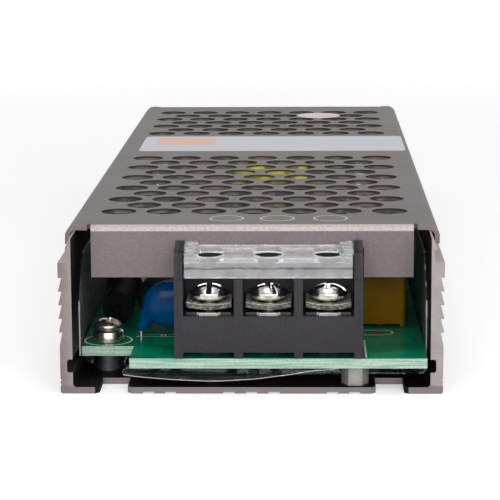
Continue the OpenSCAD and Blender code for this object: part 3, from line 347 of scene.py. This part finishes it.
# Tinned contacts: a bright tab in the middle of each cell, and painted shade on the plate at each side of
# the tab
tabLook = {"bright": (0.38, 0.36, 0.33, 1), "dull": (0.26, 0.25, 0.22, 1), "stainAndShade": (0.02, 0.02, 0.02, 1),
           "half": 1.7}


def tinnedTab(p):
    x, y = axes(p)[:2]
    marks, blush = cloud(stretch(p, 2, 7, 2), 1.0, 3.0), cloud(p, 2.2, 3.0)
    # painted shade: the plate is made near black except on the tab of each cell
    paintedShade = 1.0
    for end, places in cellsAt.items():
        for cx in places:
            far = ramp(abs(x - cx), tabLook["half"], tabLook["half"] + 0.25)
            paintedShade = paintedShade * (far | ramp(y * end, 1.0, -1.0))
    plate = tint(ramp(blush * 0.5 + marks * 0.5, 0.35, 0.65), tabLook["dull"], tabLook["bright"])
    return {"Base Color": tint(paintedShade * 0.9, plate, tabLook["stainAndShade"]),
            "Roughness": 0.2 + marks * 0.16 + paintedShade * 0.2,
            "Normal": relief(marks, 0.02)}


# Plain metals, by where their drawing, turning or rolling marks run
metalLook = {
    "dark_standoff": {"name": "blackZinc", "bright": (0.12, 0.12, 0.13, 1), "dull": (0.07, 0.07, 0.08, 1),
                      "smooth": 0.36, "along": (3, 3, 3), "metal": 1.0},
    "spacer_aluminium": {"name": "turnedSpacer", "bright": (0.34, 0.32, 0.31, 1),
                         "dull": (0.24, 0.23, 0.22, 1), "smooth": 0.45, "along": (1.2, 1.2, 3),
                         "metal": 0.5},
    "sink_aluminium": {"name": "rolledSink", "bright": (0.5, 0.49, 0.48, 1), "dull": (0.36, 0.35, 0.35, 1),
                       "smooth": 0.38, "along": (4, 0.2, 4), "metal": 1.0}}
screwLook = {"bright": (0.60, 0.55, 0.50, 1), "dull": (0.38, 0.34, 0.30, 1), "smooth": 0.16,
             "along": (1.5, 1.5, 5)}


def metalSkin(look):
    def build(p):
        marks, blush = cloud(stretch(p, *look["along"]), 1.0, 3.0), cloud(p, 2.2, 3.0)
        clean = ramp(blush * 0.5 + marks * 0.5, 0.35, 0.65)
        return {"Base Color": tint(clean, look["dull"], look["bright"]),
                "Roughness": look["smooth"] + marks * 0.16 + blush * 0.06,
                "Normal": relief(marks, 0.02)}
    return build


# Moulded, dipped and sleeved parts share one build: a body colour that drifts, and bare leads below a level
boardTop, boardThick = 5.65, 1.6
leadTone = tone(206, 202, 194)
partLook = {
    "blue_lacquer": {"name": "blueLacquer", "pale": tone(0, 84, 142), "deep": tone(0, 68, 122),
                     "smooth": 0.1, "grain": (1.4, 0.05), "leads": boardTop + 0.85,
                     "own": {"Specular IOR Level": 0.1}},
    "yellow_case": {"name": "yellowCase", "pale": tone(156, 114, 15), "deep": tone(140, 99, 8),
                    "smooth": 0.34, "grain": (0.3, 0.012), "leads": boardTop,
                    "own": {"Specular IOR Level": 0.14}},
    "yellow_tape": {"name": "yellowTape", "pale": tone(228, 216, 34), "deep": tone(214, 198, 16),
                    "smooth": 0.26, "grain": (1.6, 0.05), "leads": 0.0, "own": {}},
    "black_epoxy": {"name": "blackEpoxy", "pale": tone(34, 34, 36), "deep": tone(24, 24, 26),
                    "smooth": 0.5, "grain": (0.2, 0.02), "leads": boardTop + 0.7,
                    "own": {"Specular IOR Level": 0.12}},
    "ferrite": {"name": "ferrite", "pale": tone(54, 53, 56), "deep": tone(38, 37, 40),
                "smooth": 0.5, "grain": (0.18, 0.02), "leads": 0.0, "own": {"Specular IOR Level": 0.2}},
    "ring_coating": {"name": "ringCoating", "pale": tone(70, 100, 84), "deep": tone(52, 80, 66),
                     "smooth": 0.44, "grain": (0.5, 0.03), "leads": 0.0, "own": {}},
    "fuse_sleeve": {"name": "fuseSleeve", "pale": tone(18, 18, 20), "deep": tone(12, 12, 14),
                    "smooth": 0.5, "grain": (0.7, 0.03), "leads": boardTop + 0.6,
                    "own": {"Specular IOR Level": 0.05}},
    "resistor_lacquer": {"name": "resistorLacquer", "pale": tone(206, 186, 142),
                         "deep": tone(188, 166, 120), "smooth": 0.34, "grain": (0.5, 0.02),
                         "leads": boardTop + 0.5, "own": {}},
    "pad_silicone": {"name": "padSilicone", "pale": tone(160, 166, 174), "deep": tone(142, 148, 156),
                     "smooth": 0.6, "grain": (0.4, 0.02), "leads": 0.0, "own": {}},
    "white_moulding": {"name": "whiteMoulding", "pale": tone(228, 225, 216), "deep": tone(214, 209, 198),
                       "smooth": 0.42, "grain": (0.2, 0.012), "leads": boardTop + 0.2, "own": {}},
    "trimmer_blue": {"name": "trimmerBlue", "pale": tone(48, 98, 162), "deep": tone(36, 82, 142),
                     "smooth": 0.36, "grain": (0.25, 0.015), "leads": boardTop, "own": {}},
    "led_green": {"name": "ledLens", "pale": tone(70, 184, 98), "deep": tone(48, 160, 80),
                  "smooth": 0.14, "grain": (1.0, 0.01), "leads": boardTop,
                  "own": {"Transmission Weight": 0.35, "IOR": 1.5}}}


def partSkin(look):
    def build(p):
        z = axes(p)[2]
        size, depth = look["grain"]
        grain, drift = cloud(p, size, 3.0), cloud(p, 4.5, 2.0)
        body = tint(ramp(grain * 0.5 + drift * 0.5, 0.32, 0.68), look["deep"], look["pale"])
        lead = ramp(z, look["leads"] + 0.04, look["leads"] - 0.04)
        return {"Base Color": tint(lead, body, leadTone),
                "Metallic": lead,
                "Roughness": look["smooth"] + grain * 0.12 + lead * 0.12,
                "Normal": relief(grain, depth)}
    return build


# Capacitor cans: shrink sleeve with a pale stripe, bare scored metal on the standing ones' tops
canLook = {"sleeve": tone(36, 38, 46), "sleeveDeep": tone(26, 27, 33), "stripe": tone(118, 122, 130),
           "top": tone(176, 174, 170), "standing": [(0.8, 16.5), (11.0, 16.5), (0.8, 28.5), (11.0, 28.5)],
           "rim": 4.2, "topLevel": 21.3, "leadLevel": 5.8, "stripesFrom": (6.0, 8.0), "score": (0.16, 0.06)}


def canSleeve(p):
    x, y, z = axes(p)
    nx, ny, nz = facing(p)
    ripple, drift = cloud(stretch(p, 1, 1, 0.3), 1.4, 2.0), cloud(p, 5.0, 2.0)
    stripe = ramp(nx * 0.8 + ny * 0.3, 0.78, 0.8) * ramp(y, *canLook["stripesFrom"])
    body = tint(ramp(drift, 0.35, 0.65), canLook["sleeveDeep"], canLook["sleeve"])
    body = tint(stripe * 0.8, body, canLook["stripe"])
    bare, score = None, None
    for cx, cy in canLook["standing"]:
        disc = ramp(away(p, cx, cy), canLook["rim"], canLook["rim"] - 0.1)
        cross = ramp(abs(x - cx), *canLook["score"]) | ramp(abs(y - cy), *canLook["score"])
        bare = disc if bare is None else bare | disc
        score = disc * cross if score is None else score | disc * cross
    bare = bare * ramp(z, canLook["topLevel"] - 0.4, canLook["topLevel"] - 0.2) * ramp(nz, 0.5, 0.8)
    metal = bare | ramp(z, canLook["leadLevel"] + 0.04, canLook["leadLevel"] - 0.04)
    return {"Base Color": tint(metal, body, canLook["top"]),
            "Metallic": metal,
            "Roughness": 0.24 + ripple * 0.12 + metal * 0.12,
            "Normal": relief(ripple * 0.4 - score * bare * 3, 0.05)}


# Enamelled copper turns: fine grooves round the coils, with painted shade in the grooves between the turns
copperLook = {"groove": tone(92, 44, 20), "wire": tone(190, 108, 58), "turns": 8.2,
              "own": {"Metallic": 0.8, "Coat Weight": 0.5, "Coat Roughness": 0.12}}


def copperTurns(p):
    y = axes(p)[1]
    turn = sine(y * copperLook["turns"] + cloud(p, 2.0, 1.0) * 1.6)
    blush = cloud(p, 1.8, 3.0)
    # bright wire on the crowns of the turns, painted shade in the grooves between them
    crown = ramp(turn, -0.9, 0.2) * ramp(blush, 0.2, 0.7, 0.6, 1.0)
    return {"Base Color": tint(crown, copperLook["groove"], copperLook["wire"]),
            "Roughness": 0.2 + blush * 0.16,
            "Normal": relief(turn, 0.12)}


# Clear film under and beside the board: painted highlights where the film turns opaque along its edges and
# in streaks near its end, creases and smears inside
filmLook = {"end": 84.5, "apronEnd": 92.9, "top": 20.05, "floor": (1.4, 1.8), "streaks": (16, 4),
            "own": {"Base Color": tone(222, 228, 230), "IOR": 1.5}}


def filmSkin(end):
    def build(p):
        x, y, z = axes(p)
        first, full = filmLook["streaks"]
        smear, crease = cloud(stretch(p, 1, 0.25, 0.6), 2.4, 3.0), cloud(p, 7.0, 1.0)
        # painted highlight: the film turns opaque and pale along its end and top edges
        rim = ramp(abs(y), end - 0.22, end - 0.08) * ramp(z, *filmLook["floor"])
        rim = rim | ramp(z, filmLook["top"] - 0.2, filmLook["top"] - 0.07)
        streak = ramp(cloud(stretch(p, 1, 1.1, 0.12), 1.0, 3.0), 0.5, 0.6)
        streak = streak * ramp(abs(y), end - first, end - full)
        graze = p.node("LayerWeight", {}, {"Blend": 0.3}, "Facing")
        # painted highlight in streaks near the film's end
        streakHighlight = streak * ramp(x, -5.0, 5.0, 0.12, 0.55)
        return {"Alpha": 0.03 + graze * graze * 0.22 + rim * 0.6 + streakHighlight,
                "Roughness": 0.06 + ramp(smear, 0.5, 0.8) * 0.2,
                "Normal": relief(crease + smear * 0.06 + streak * 0.5, 0.25)}
    return build


# Rating plate: pale satin film with one warm field and two thin rules
plateLook = {"low": (-25.5, 4.2), "high": (28.9, 27.5), "level": 25.8, "thick": 0.05, "sunk": 0.01,
             "corner": 1.2,
             "ground": tone(193, 194, 201), "groundPale": tone(204, 204, 211), "field": tone(226, 176, 158),
             "fieldAt": (-22.6, -10.5, 13.8, 25.3), "rule": tone(156, 156, 168), "rulesAt": [11.6, 20.4],
             "rulesX": (-7.5, 26.2), "ruleHalf": 0.12}


def ratingPlate(p):
    x, y = axes(p)[:2]
    x0, x1, y0, y1 = plateLook["fieldAt"]
    half = plateLook["ruleHalf"]
    soft, drift = cloud(p, 0.3, 2.0), cloud(p, 9.0, 2.0)
    field = band(x, x0, x1, 0.08) * band(y, y0, y1, 0.08)
    rules = None
    for level in plateLook["rulesAt"]:
        rule = band(y, level - half, level + half, 0.05) * band(x, *plateLook["rulesX"])
        rules = rule if rules is None else rules | rule
    ground = tint(ramp(drift, 0.35, 0.65) * 0.25, plateLook["ground"], plateLook["groundPale"])
    colour = tint(rules * 0.8, tint(field * 0.92, ground, plateLook["field"]), plateLook["rule"])
    return {"Base Color": colour,
            "Roughness": 0.36 + soft * 0.1 + field * 0.06,
            "Normal": relief(soft * 0.3 + drift, 0.02)}


# Round seal over one of the far vents
sealLook = {"at": (11.5, 66.0), "radius": 5.0, "taper": 0.03, "level": 25.8, "thick": 0.06, "sunk": 0.01,
            "paper": tone(232, 216, 212), "paperDeep": tone(216, 196, 192)}


def sealPaper(p):
    fibre, drift = cloud(p, 0.35, 3.0), cloud(p, 3.0, 2.0)
    mottle = ramp(fibre * 0.4 + drift * 0.6, 0.35, 0.65)
    return {"Base Color": tint(mottle, sealLook["paperDeep"], sealLook["paper"]),
            "Roughness": 0.5 + fibre * 0.15,
            "Normal": relief(fibre + drift, 0.02)}


allMetal = {"Metallic": 1.0}
finishes = {
    "cover_paint": finish("coverPaint", coverPaint, {"Metallic": 0.2, "Specular IOR Level": 0.35}),
    "channel_aluminium": finish("channelMetal", channelMetal, allMetal),
    "clear_film": finish("clearFilm", filmSkin(filmLook["end"]), filmLook["own"]),
    "board_laminate": finish("boardLaminate", boardLaminate, {"Specular IOR Level": 0.06}),
    "block_plastic": finish("blockMoulding", blockMoulding, {"Specular IOR Level": 0.22}),
    "clear_plastic": finish("clearMoulding", clearMoulding, {"Transmission Weight": 0.84, "IOR": 1.5}),
    "nickel_steel": finish("nickelPlate", nickelPlate, allMetal),
    "tinned_contact": finish("tinnedTab", tinnedTab, allMetal),
    "can_sleeve": finish("canSleeve", canSleeve),
    "copper_wire": finish("copperTurns", copperTurns, copperLook["own"]),
}
for slotName, look in metalLook.items():
    finishes[slotName] = finish(look["name"], metalSkin(look), {"Metallic": look["metal"]})
for slotName, look in partLook.items():
    finishes[slotName] = finish(look["name"], partSkin(look), look["own"])
apronFinish = finish("apronFilm", filmSkin(filmLook["apronEnd"]), filmLook["own"])
plateFinish = finish("ratingPlate", ratingPlate)
sealFinish = finish("sealPaper", sealPaper)
clampFinish = finish("serratedPlate", serratedPlate, allMetal)
screwFinish = finish("dullScrew", metalSkin(screwLook), allMetal)


def letShadowsThrough(material):  # light reaches what lies under a clear moulding
    tree = material.node_tree
    start = Wire(tree)
    shader = Wire(tree, tree.nodes["Principled BSDF"].outputs[0])
    shadow = start.node("LightPath", out="Is Shadow Ray")
    passing = start.node("BsdfTransparent", {}, {"Color": lidLook["shadow"]})
    mixed = start.node("MixShader", {}, {0: shadow, 1: shader, 2: passing})
    tree.links.new(mixed.socket, tree.nodes["Material Output"].inputs["Surface"])


letShadowsThrough(finishes["clear_plastic"])
print("finishes ready:", len(finishes))


def settle(name, bm, body, slotName, nodes=(), look=None, crease=24):  # a finished piece on its body
    mesh = bpy.data.meshes.new(name)
    bm.to_mesh(mesh)
    bm.free()
    mesh.shade_smooth()
    mesh.set_sharp_from_angle(angle=math.radians(crease))
    mesh.materials.append(look or finishes[slotName])
    made = bpy.data.objects.new(name, mesh)
    bpy.context.scene.collection.objects.link(made)
    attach(made, body)
    if nodes:
        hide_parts(*nodes)


copyLook = {"near": 0.002, "flat": 0.4, "sharp": 30}  # points merged, faces joined, corners eased


def copyOf(node):  # a CAD node's mesh with its triangles joined into faces
    bm = bmesh.new()
    bm.from_mesh(frame["nodes"][node].data)
    flat = math.radians(copyLook["flat"])
    bmesh.ops.remove_doubles(bm, verts=bm.verts[:], dist=copyLook["near"] * mm)
    bmesh.ops.dissolve_limit(bm, angle_limit=flat, verts=bm.verts[:], edges=bm.edges[:])
    return bm


def shells(bm):  # the separate bodies in one mesh, as sets of edges
    left, found = set(bm.verts), []
    while left:
        queue, seen = [left.pop()], set()
        while queue:
            v = queue.pop()
            seen.add(v)
            for e in v.link_edges:
                w = e.other_vert(v)
                if w in left:
                    left.discard(w)
                    queue.append(w)
        found.append({e for v in seen for e in v.link_edges})
    return found


def easeEdges(bm, width):
    sharp = math.radians(copyLook["sharp"])
    for edges in shells(bm):
        corners = [e for e in edges if len(e.link_faces) == 2 and e.calc_face_angle(0) > sharp]
        if corners:
            bmesh.ops.bevel(bm, geom=corners, offset=width * mm, offset_type="OFFSET", affect="EDGES",
                            segments=2, profile=0.5, material=-1, clamp_overlap=True)


def block(bm, low, high):  # a box between two corners, in millimetres
    made = bmesh.ops.create_cube(bm, size=1.0)["verts"]
    middle = [(a + b) / 2 * mm for a, b in zip(low, high)]
    bmesh.ops.scale(bm, vec=[(b - a) * mm for a, b in zip(low, high)], verts=made)
    bmesh.ops.translate(bm, vec=middle, verts=made)
    return made


def rod(bm, at, low, high, bottom, top, segments=24):  # an upright round bar or cone
    made = bmesh.ops.create_cone(bm, cap_ends=True, segments=segments, radius1=bottom * mm,
                                 radius2=top * mm, depth=(high - low) * mm)["verts"]
    bmesh.ops.translate(bm, vec=(at[0] * mm, at[1] * mm, (low + high) / 2 * mm), verts=made)
    return made


def uprightEdges(verts):
    found = {e for v in verts for e in v.link_edges}
    return [e for e in found if abs((e.verts[0].co - e.verts[1].co).normalized().z) > 0.9]


# Edges eased as moulding, tumbling or plating leaves them; at 0 the copy keeps them as they are
easedNodes = {"input_block": 0.18, "output_block": 0.18, "input_cover": 0.24, "output_cover": 0.24,
              "input_contacts": 0.1, "output_contacts": 0.1, "board_screws": 0.08, "lock_washers": 0.08,
              "board_spacers": 0.1, "film_capacitor": 0.3, "top_cover": 0.0, "base_channel": 0.0,
              "indicator_led": 0.0}
clampEase = 0.28
easedNodes.update({n: clampEase for n in frame["nodes"] if "_clamp_" in n})
for n, width in easedNodes.items():
    bm = copyOf(n)
    if width:
        easeEdges(bm, width)
    look = clampFinish if "_clamp_" in n else screwFinish if n in ("board_screws", "lock_washers") else None
    settle(n + ".shown", bm, bodyOf[n], slotOf[n], [n], look)
print("eased pieces:", len(easedNodes))

# Clamp screws: the head as cut, and a real helical thread on the shank
threadLook = {"head": 2.55, "shank": 6.0, "root": 1.42, "crest": 1.75, "pitch": 0.6, "land": 0.24,
              "steps": 20, "lap": 0.05, "plainTurns": 1.2, "lowest": 0.1,
              "sunk": 0.15, "cutOver": 0.02, "ease": 0.1}


def threadOn(bm, at, low, high):
    land = threadLook["land"]
    rod(bm, at, low, high + threadLook["lap"], threadLook["root"], threadLook["root"])
    turns = (high - low) / threadLook["pitch"] - threadLook["plainTurns"]
    start = low + land + threadLook["lowest"]
    inner = threadLook["root"] - threadLook["sunk"]
    points = [(inner, -land), (threadLook["crest"], 0.0), (inner, land)]
    ridge = [bm.verts.new(((at[0] + r) * mm, at[1] * mm, (start + h) * mm)) for r, h in points]
    loop = [bm.edges.new((ridge[i], ridge[(i + 1) % 3])) for i in range(3)]
    steps = int(turns * threadLook["steps"])
    bmesh.ops.spin(bm, geom=ridge + loop, cent=(at[0] * mm, at[1] * mm, 0), axis=(0, 0, 1),
                   dvec=(0, 0, threadLook["pitch"] * mm / threadLook["steps"]),
                   angle=2 * math.pi * steps / threadLook["steps"], steps=steps, use_merge=False)
    bmesh.ops.holes_fill(bm, edges=[e for e in bm.edges if e.is_boundary], sides=4)


threaded = [n for n in frame["nodes"] if "put_screw_" in n]
for n in threaded:
    low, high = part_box(n)
    seat = high[2] / mm - threadLook["head"]
    at = ((low[0] + high[0]) / 2 / mm, (low[1] + high[1]) / 2 / mm)
    bm = copyOf(n)
    geom = bm.verts[:] + bm.edges[:] + bm.faces[:]
    under = (0, 0, (seat + threadLook["cutOver"]) * mm)
    bmesh.ops.bisect_plane(bm, geom=geom, dist=1e-7, plane_co=under, plane_no=(0, 0, 1), clear_inner=True)
    bmesh.ops.holes_fill(bm, edges=[e for e in bm.edges if e.is_boundary], sides=0)
    easeEdges(bm, threadLook["ease"])
    threadOn(bm, at, seat - threadLook["shank"], seat)
    bmesh.ops.recalc_face_normals(bm, faces=bm.faces[:])
    settle(n + ".shown", bm, bodyOf[n], slotOf[n], [n], crease=32)
print("threaded screws:", len(threaded))

# Dipped discs: a lens of lacquer that runs down on to each lead
dipLook = {"discs": [{"at": (-13.8, -76.6), "turn": 0}, {"at": (20.5, -13.5), "turn": 90}],
           "size": 8.5, "thick": 4.5, "lift": 1.0, "wide": 1.13, "arch": 0.86, "blunt": 0.62,
           "legEnd": 0.85, "legFoot": 0.65, "legTop": 2.1, "legHigh": 0.85, "lean": 2.1, "slim": 0.25,
           "pitch": 10.0, "lead": 0.4, "tail": 1.2, "leadHigh": 2.2, "voxel": 0.16, "rounds": 8}


def dippedDisc(bm):
    half, lift, reach = dipLook["size"] / 2, dipLook["lift"], dipLook["pitch"] / 2
    disc = bmesh.ops.create_uvsphere(bm, u_segments=40, v_segments=24, radius=half * mm)["verts"]
    for v in disc:
        share = abs(v.co.y) / (half * mm)
        v.co.y = math.copysign(share ** dipLook["blunt"] * dipLook["thick"] / 2 * mm, v.co.y)
        v.co.x *= dipLook["wide"]
        v.co.z *= dipLook["arch"] if v.co.z < 0 else 1.0
        v.co.z += (boardTop + lift + half) * mm
    for side in (-1, 1):
        foot, top = boardTop + dipLook["legEnd"], boardTop + lift + half * dipLook["legHigh"]
        leg = rod(bm, (side * reach, 0), foot, top, dipLook["legFoot"], dipLook["legTop"], 20)
        for v in leg:
            climb = (v.co.z / mm - foot) / (top - foot)
            v.co.x -= side * dipLook["lean"] * climb * mm
            v.co.y *= 1 - dipLook["slim"] * climb


def remeshed(bm, voxel, rounds):  # joins overlapping forms into one skin and smooths it
    mesh = bpy.data.meshes.new("draft")
    bm.to_mesh(mesh)
    bm.free()
    draft = bpy.data.objects.new("draft", mesh)
    bpy.context.scene.collection.objects.link(draft)
    skin = draft.modifiers.new("skin", "REMESH")
    skin.mode, skin.voxel_size = "VOXEL", voxel * mm
    bpy.context.view_layer.update()
    bm = bmesh.new()
    bm.from_object(draft, bpy.context.evaluated_depsgraph_get())
    bpy.data.objects.remove(draft)
    bpy.data.meshes.remove(mesh)
    for _ in range(rounds):
        bmesh.ops.smooth_vert(bm, verts=bm.verts[:], factor=0.5,
                              use_axis_x=True, use_axis_y=True, use_axis_z=True)
    return bm


bm = bmesh.new()
leadFoot, leadEnd = boardTop - boardThick - dipLook["tail"], boardTop + dipLook["leadHigh"]
for place in dipLook["discs"]:
    part = bmesh.new()
    dippedDisc(part)
    part = remeshed(part, dipLook["voxel"], dipLook["rounds"])
    for side in (-1, 1):
        rod(part, (side * dipLook["pitch"] / 2, 0), leadFoot, leadEnd, dipLook["lead"], dipLook["lead"], 14)
    turned = Matrix.Rotation(math.radians(place["turn"]), 4, "Z")
    moved = Matrix.Translation((place["at"][0] * mm, place["at"][1] * mm, 0))
    bmesh.ops.transform(part, matrix=moved @ turned, verts=part.verts[:])
    joined = bpy.data.meshes.new("joined")
    part.to_mesh(joined)
    part.free()
    bm.from_mesh(joined)
    bpy.data.meshes.remove(joined)
settle("safety_capacitors.shown", bm, bodyOf["safety_capacitors"], "blue_lacquer", ["safety_capacitors"],
       crease=50)
print("dipped discs:", len(dipLook["discs"]))

# Plate and seal stuck on the cover
bm = bmesh.new()
level = plateLook["level"]
plate = block(bm, (*plateLook["low"], level - plateLook["sunk"]),
              (*plateLook["high"], level + plateLook["thick"]))
bmesh.ops.bevel(bm, geom=uprightEdges(plate), offset=plateLook["corner"] * mm, offset_type="OFFSET",
                affect="EDGES", segments=5, profile=0.5, material=-1)
settle("ratingPlate", bm, "supply", "white_moulding", look=plateFinish)
bm = bmesh.new()
level, radius = sealLook["level"], sealLook["radius"]
rod(bm, sealLook["at"], level - sealLook["sunk"], level + sealLook["thick"],
    radius, radius - sealLook["taper"], 48)
settle("ventSeal", bm, "supply", "white_moulding", look=sealFinish)

# Front apron of the film: from the floor up to the board's front edge, slack in the middle
apronLook = {"left": -20.4, "right": 13.9, "back": -84.6, "front": -92.9, "thick": 0.12,
             "across": 28, "deep": 8,
             "floor": 1.16, "edge": 3.0, "slack": 1.1, "slackWide": 1.15, "lift": 1.0, "curl": 1.4,
             "ripple": 0.12, "rippleX": 0.25, "rippleY": 0.3}


def apronHeight(x, along):  # along runs from the film on the floor to the board's edge
    side = (x - apronLook["left"]) / (apronLook["right"] - apronLook["left"])
    sag = apronLook["slack"] * math.sin(math.pi * min(side * apronLook["slackWide"], 1.0))
    front = apronLook["edge"] - sag + apronLook["lift"] * side ** 3
    return apronLook["floor"] + (front - apronLook["floor"]) * along ** apronLook["curl"]


bm = bmesh.new()
bmesh.ops.create_grid(bm, x_segments=apronLook["across"], y_segments=apronLook["deep"], size=0.5)
for v in bm.verts:
    along = 0.5 - v.co.y
    x = apronLook["left"] + (v.co.x + 0.5) * (apronLook["right"] - apronLook["left"])
    y = apronLook["back"] + along * (apronLook["front"] - apronLook["back"])
    at = Vector((x * apronLook["rippleX"], y * apronLook["rippleY"], 2.0))
    wave = apronLook["ripple"] * noise.noise(at) * along
    v.co = (x * mm, y * mm, (apronHeight(x, along) + wave) * mm)
bmesh.ops.solidify(bm, geom=bm.faces[:], thickness=apronLook["thick"] * mm)
bmesh.ops.recalc_face_normals(bm, faces=bm.faces[:])
settle("filmApron", bm, "supply", "clear_film", look=apronFinish, crease=40)
print("plate, seal and apron laid")

for n, obj in frame["nodes"].items():
    obj.data.materials.clear()
    obj.data.materials.append(finishes[slotOf[n]])

# Floor: pale, white to the camera and to reflections, and it keeps the shadow
floorLook = {"half": 3.0, "pale": (0.8, 0.8, 0.8, 1), "glow": 0.42, "glowFar": 0.85,
             "near": 0.12, "far": 0.9}
bm = bmesh.new()
bmesh.ops.create_grid(bm, x_segments=1, y_segments=1, size=floorLook["half"])
mesh = bpy.data.meshes.new("floor")
bm.to_mesh(mesh)
bm.free()
floor = bpy.data.objects.new("floor", mesh)
bpy.context.scene.collection.objects.link(floor)


def seenRays(start):  # what the camera, a reflection or a clear part looks at
    direct = start.node("LightPath", out="Is Camera Ray")
    mirrored = start.node("LightPath", out="Is Glossy Ray")
    through = start.node("LightPath", out="Is Transmission Ray")
    return direct | mirrored | through


floorMat = bpy.data.materials.new("paleFloor")
floorMat.use_nodes = True
start = Wire(floorMat.node_tree)
spot = start.node("TexCoord", out="Object")
reach = start.node("VectorMath", {"operation": "LENGTH"}, {0: spot}, "Value")
level = ramp(reach, floorLook["near"], floorLook["far"], floorLook["glow"], floorLook["glowFar"])
diffuse = start.node("BsdfDiffuse", {}, {"Color": floorLook["pale"]})
glow = start.node("Emission", {}, {"Color": (1, 1, 1, 1), "Strength": seenRays(start) * level})
both = start.node("AddShader", {}, {0: diffuse, 1: glow})
floorMat.node_tree.links.new(both.socket, floorMat.node_tree.nodes["Material Output"].inputs["Surface"])
mesh.materials.append(floorMat)

# Light: even surroundings, wide soft boxes high and low in front, weak ones above and to the right
lampLook = {"front": {"at": (0.0, -0.72, 0.68), "size": (1.3, 0.4), "power": 3.9},
            "low": {"at": (0.1, -1.05, 0.27), "size": (1.0, 0.3), "power": 4.2},
            "above": {"at": (0.0, 0.1, 1.1), "size": (0.7, 0.7), "power": 2.4},
            "right": {"at": (0.85, -0.6, 0.35), "size": (0.4, 0.6), "power": 1.2}}
lampAim, worldLook = Vector((0, 0, 0.015)), {"onObject": 0.25, "seen": 0.75}
for name, lamp in lampLook.items():
    data = bpy.data.lights.new(name, "AREA")
    data.shape, data.energy = "RECTANGLE", lamp["power"]
    data.size, data.size_y = lamp["size"]
    obj = bpy.data.objects.new(name, data)
    toObject = lampAim - Vector(lamp["at"])
    turned = toObject.to_track_quat("-Z", "Y").to_matrix().to_4x4()
    obj.matrix_world = Matrix.Translation(lamp["at"]) @ turned
    bpy.context.scene.collection.objects.link(obj)

world = bpy.data.worlds.new("surroundings")
world.use_nodes = True
bpy.context.scene.world = world
start = Wire(world.node_tree)
strength = worldLook["onObject"] + seenRays(start) * worldLook["seen"]
background = start.node("Background", {}, {"Color": (1, 1, 1, 1), "Strength": strength})
world.node_tree.links.new(background.socket, world.node_tree.nodes["World Output"].inputs["Surface"])

# Camera: fitted to the outline in the photograph
view = {"at": (0.0089, -0.4108, 0.0814), "down": 10.385, "turn": 1.623, "roll": -0.348, "lens": 148.02,
        "sensor": 36.0, "clip": (0.01, 20.0)}
camera = bpy.data.objects.new("camera", bpy.data.cameras.new("camera"))
camera.data.lens, camera.data.sensor_width = view["lens"], view["sensor"]
camera.data.sensor_fit = "HORIZONTAL"
camera.data.clip_start, camera.data.clip_end = view["clip"]
camera.matrix_world = (Matrix.Translation(view["at"]) @ Matrix.Rotation(math.radians(view["turn"]), 4, "Z")
                       @ Matrix.Rotation(math.radians(90 - view["down"]), 4, "X")
                       @ Matrix.Rotation(math.radians(view["roll"]), 4, "Z"))
bpy.context.scene.collection.objects.link(camera)
bpy.context.scene.camera = camera
bpy.context.scene.view_settings.view_transform = "Standard"
print("stage, light and camera set")
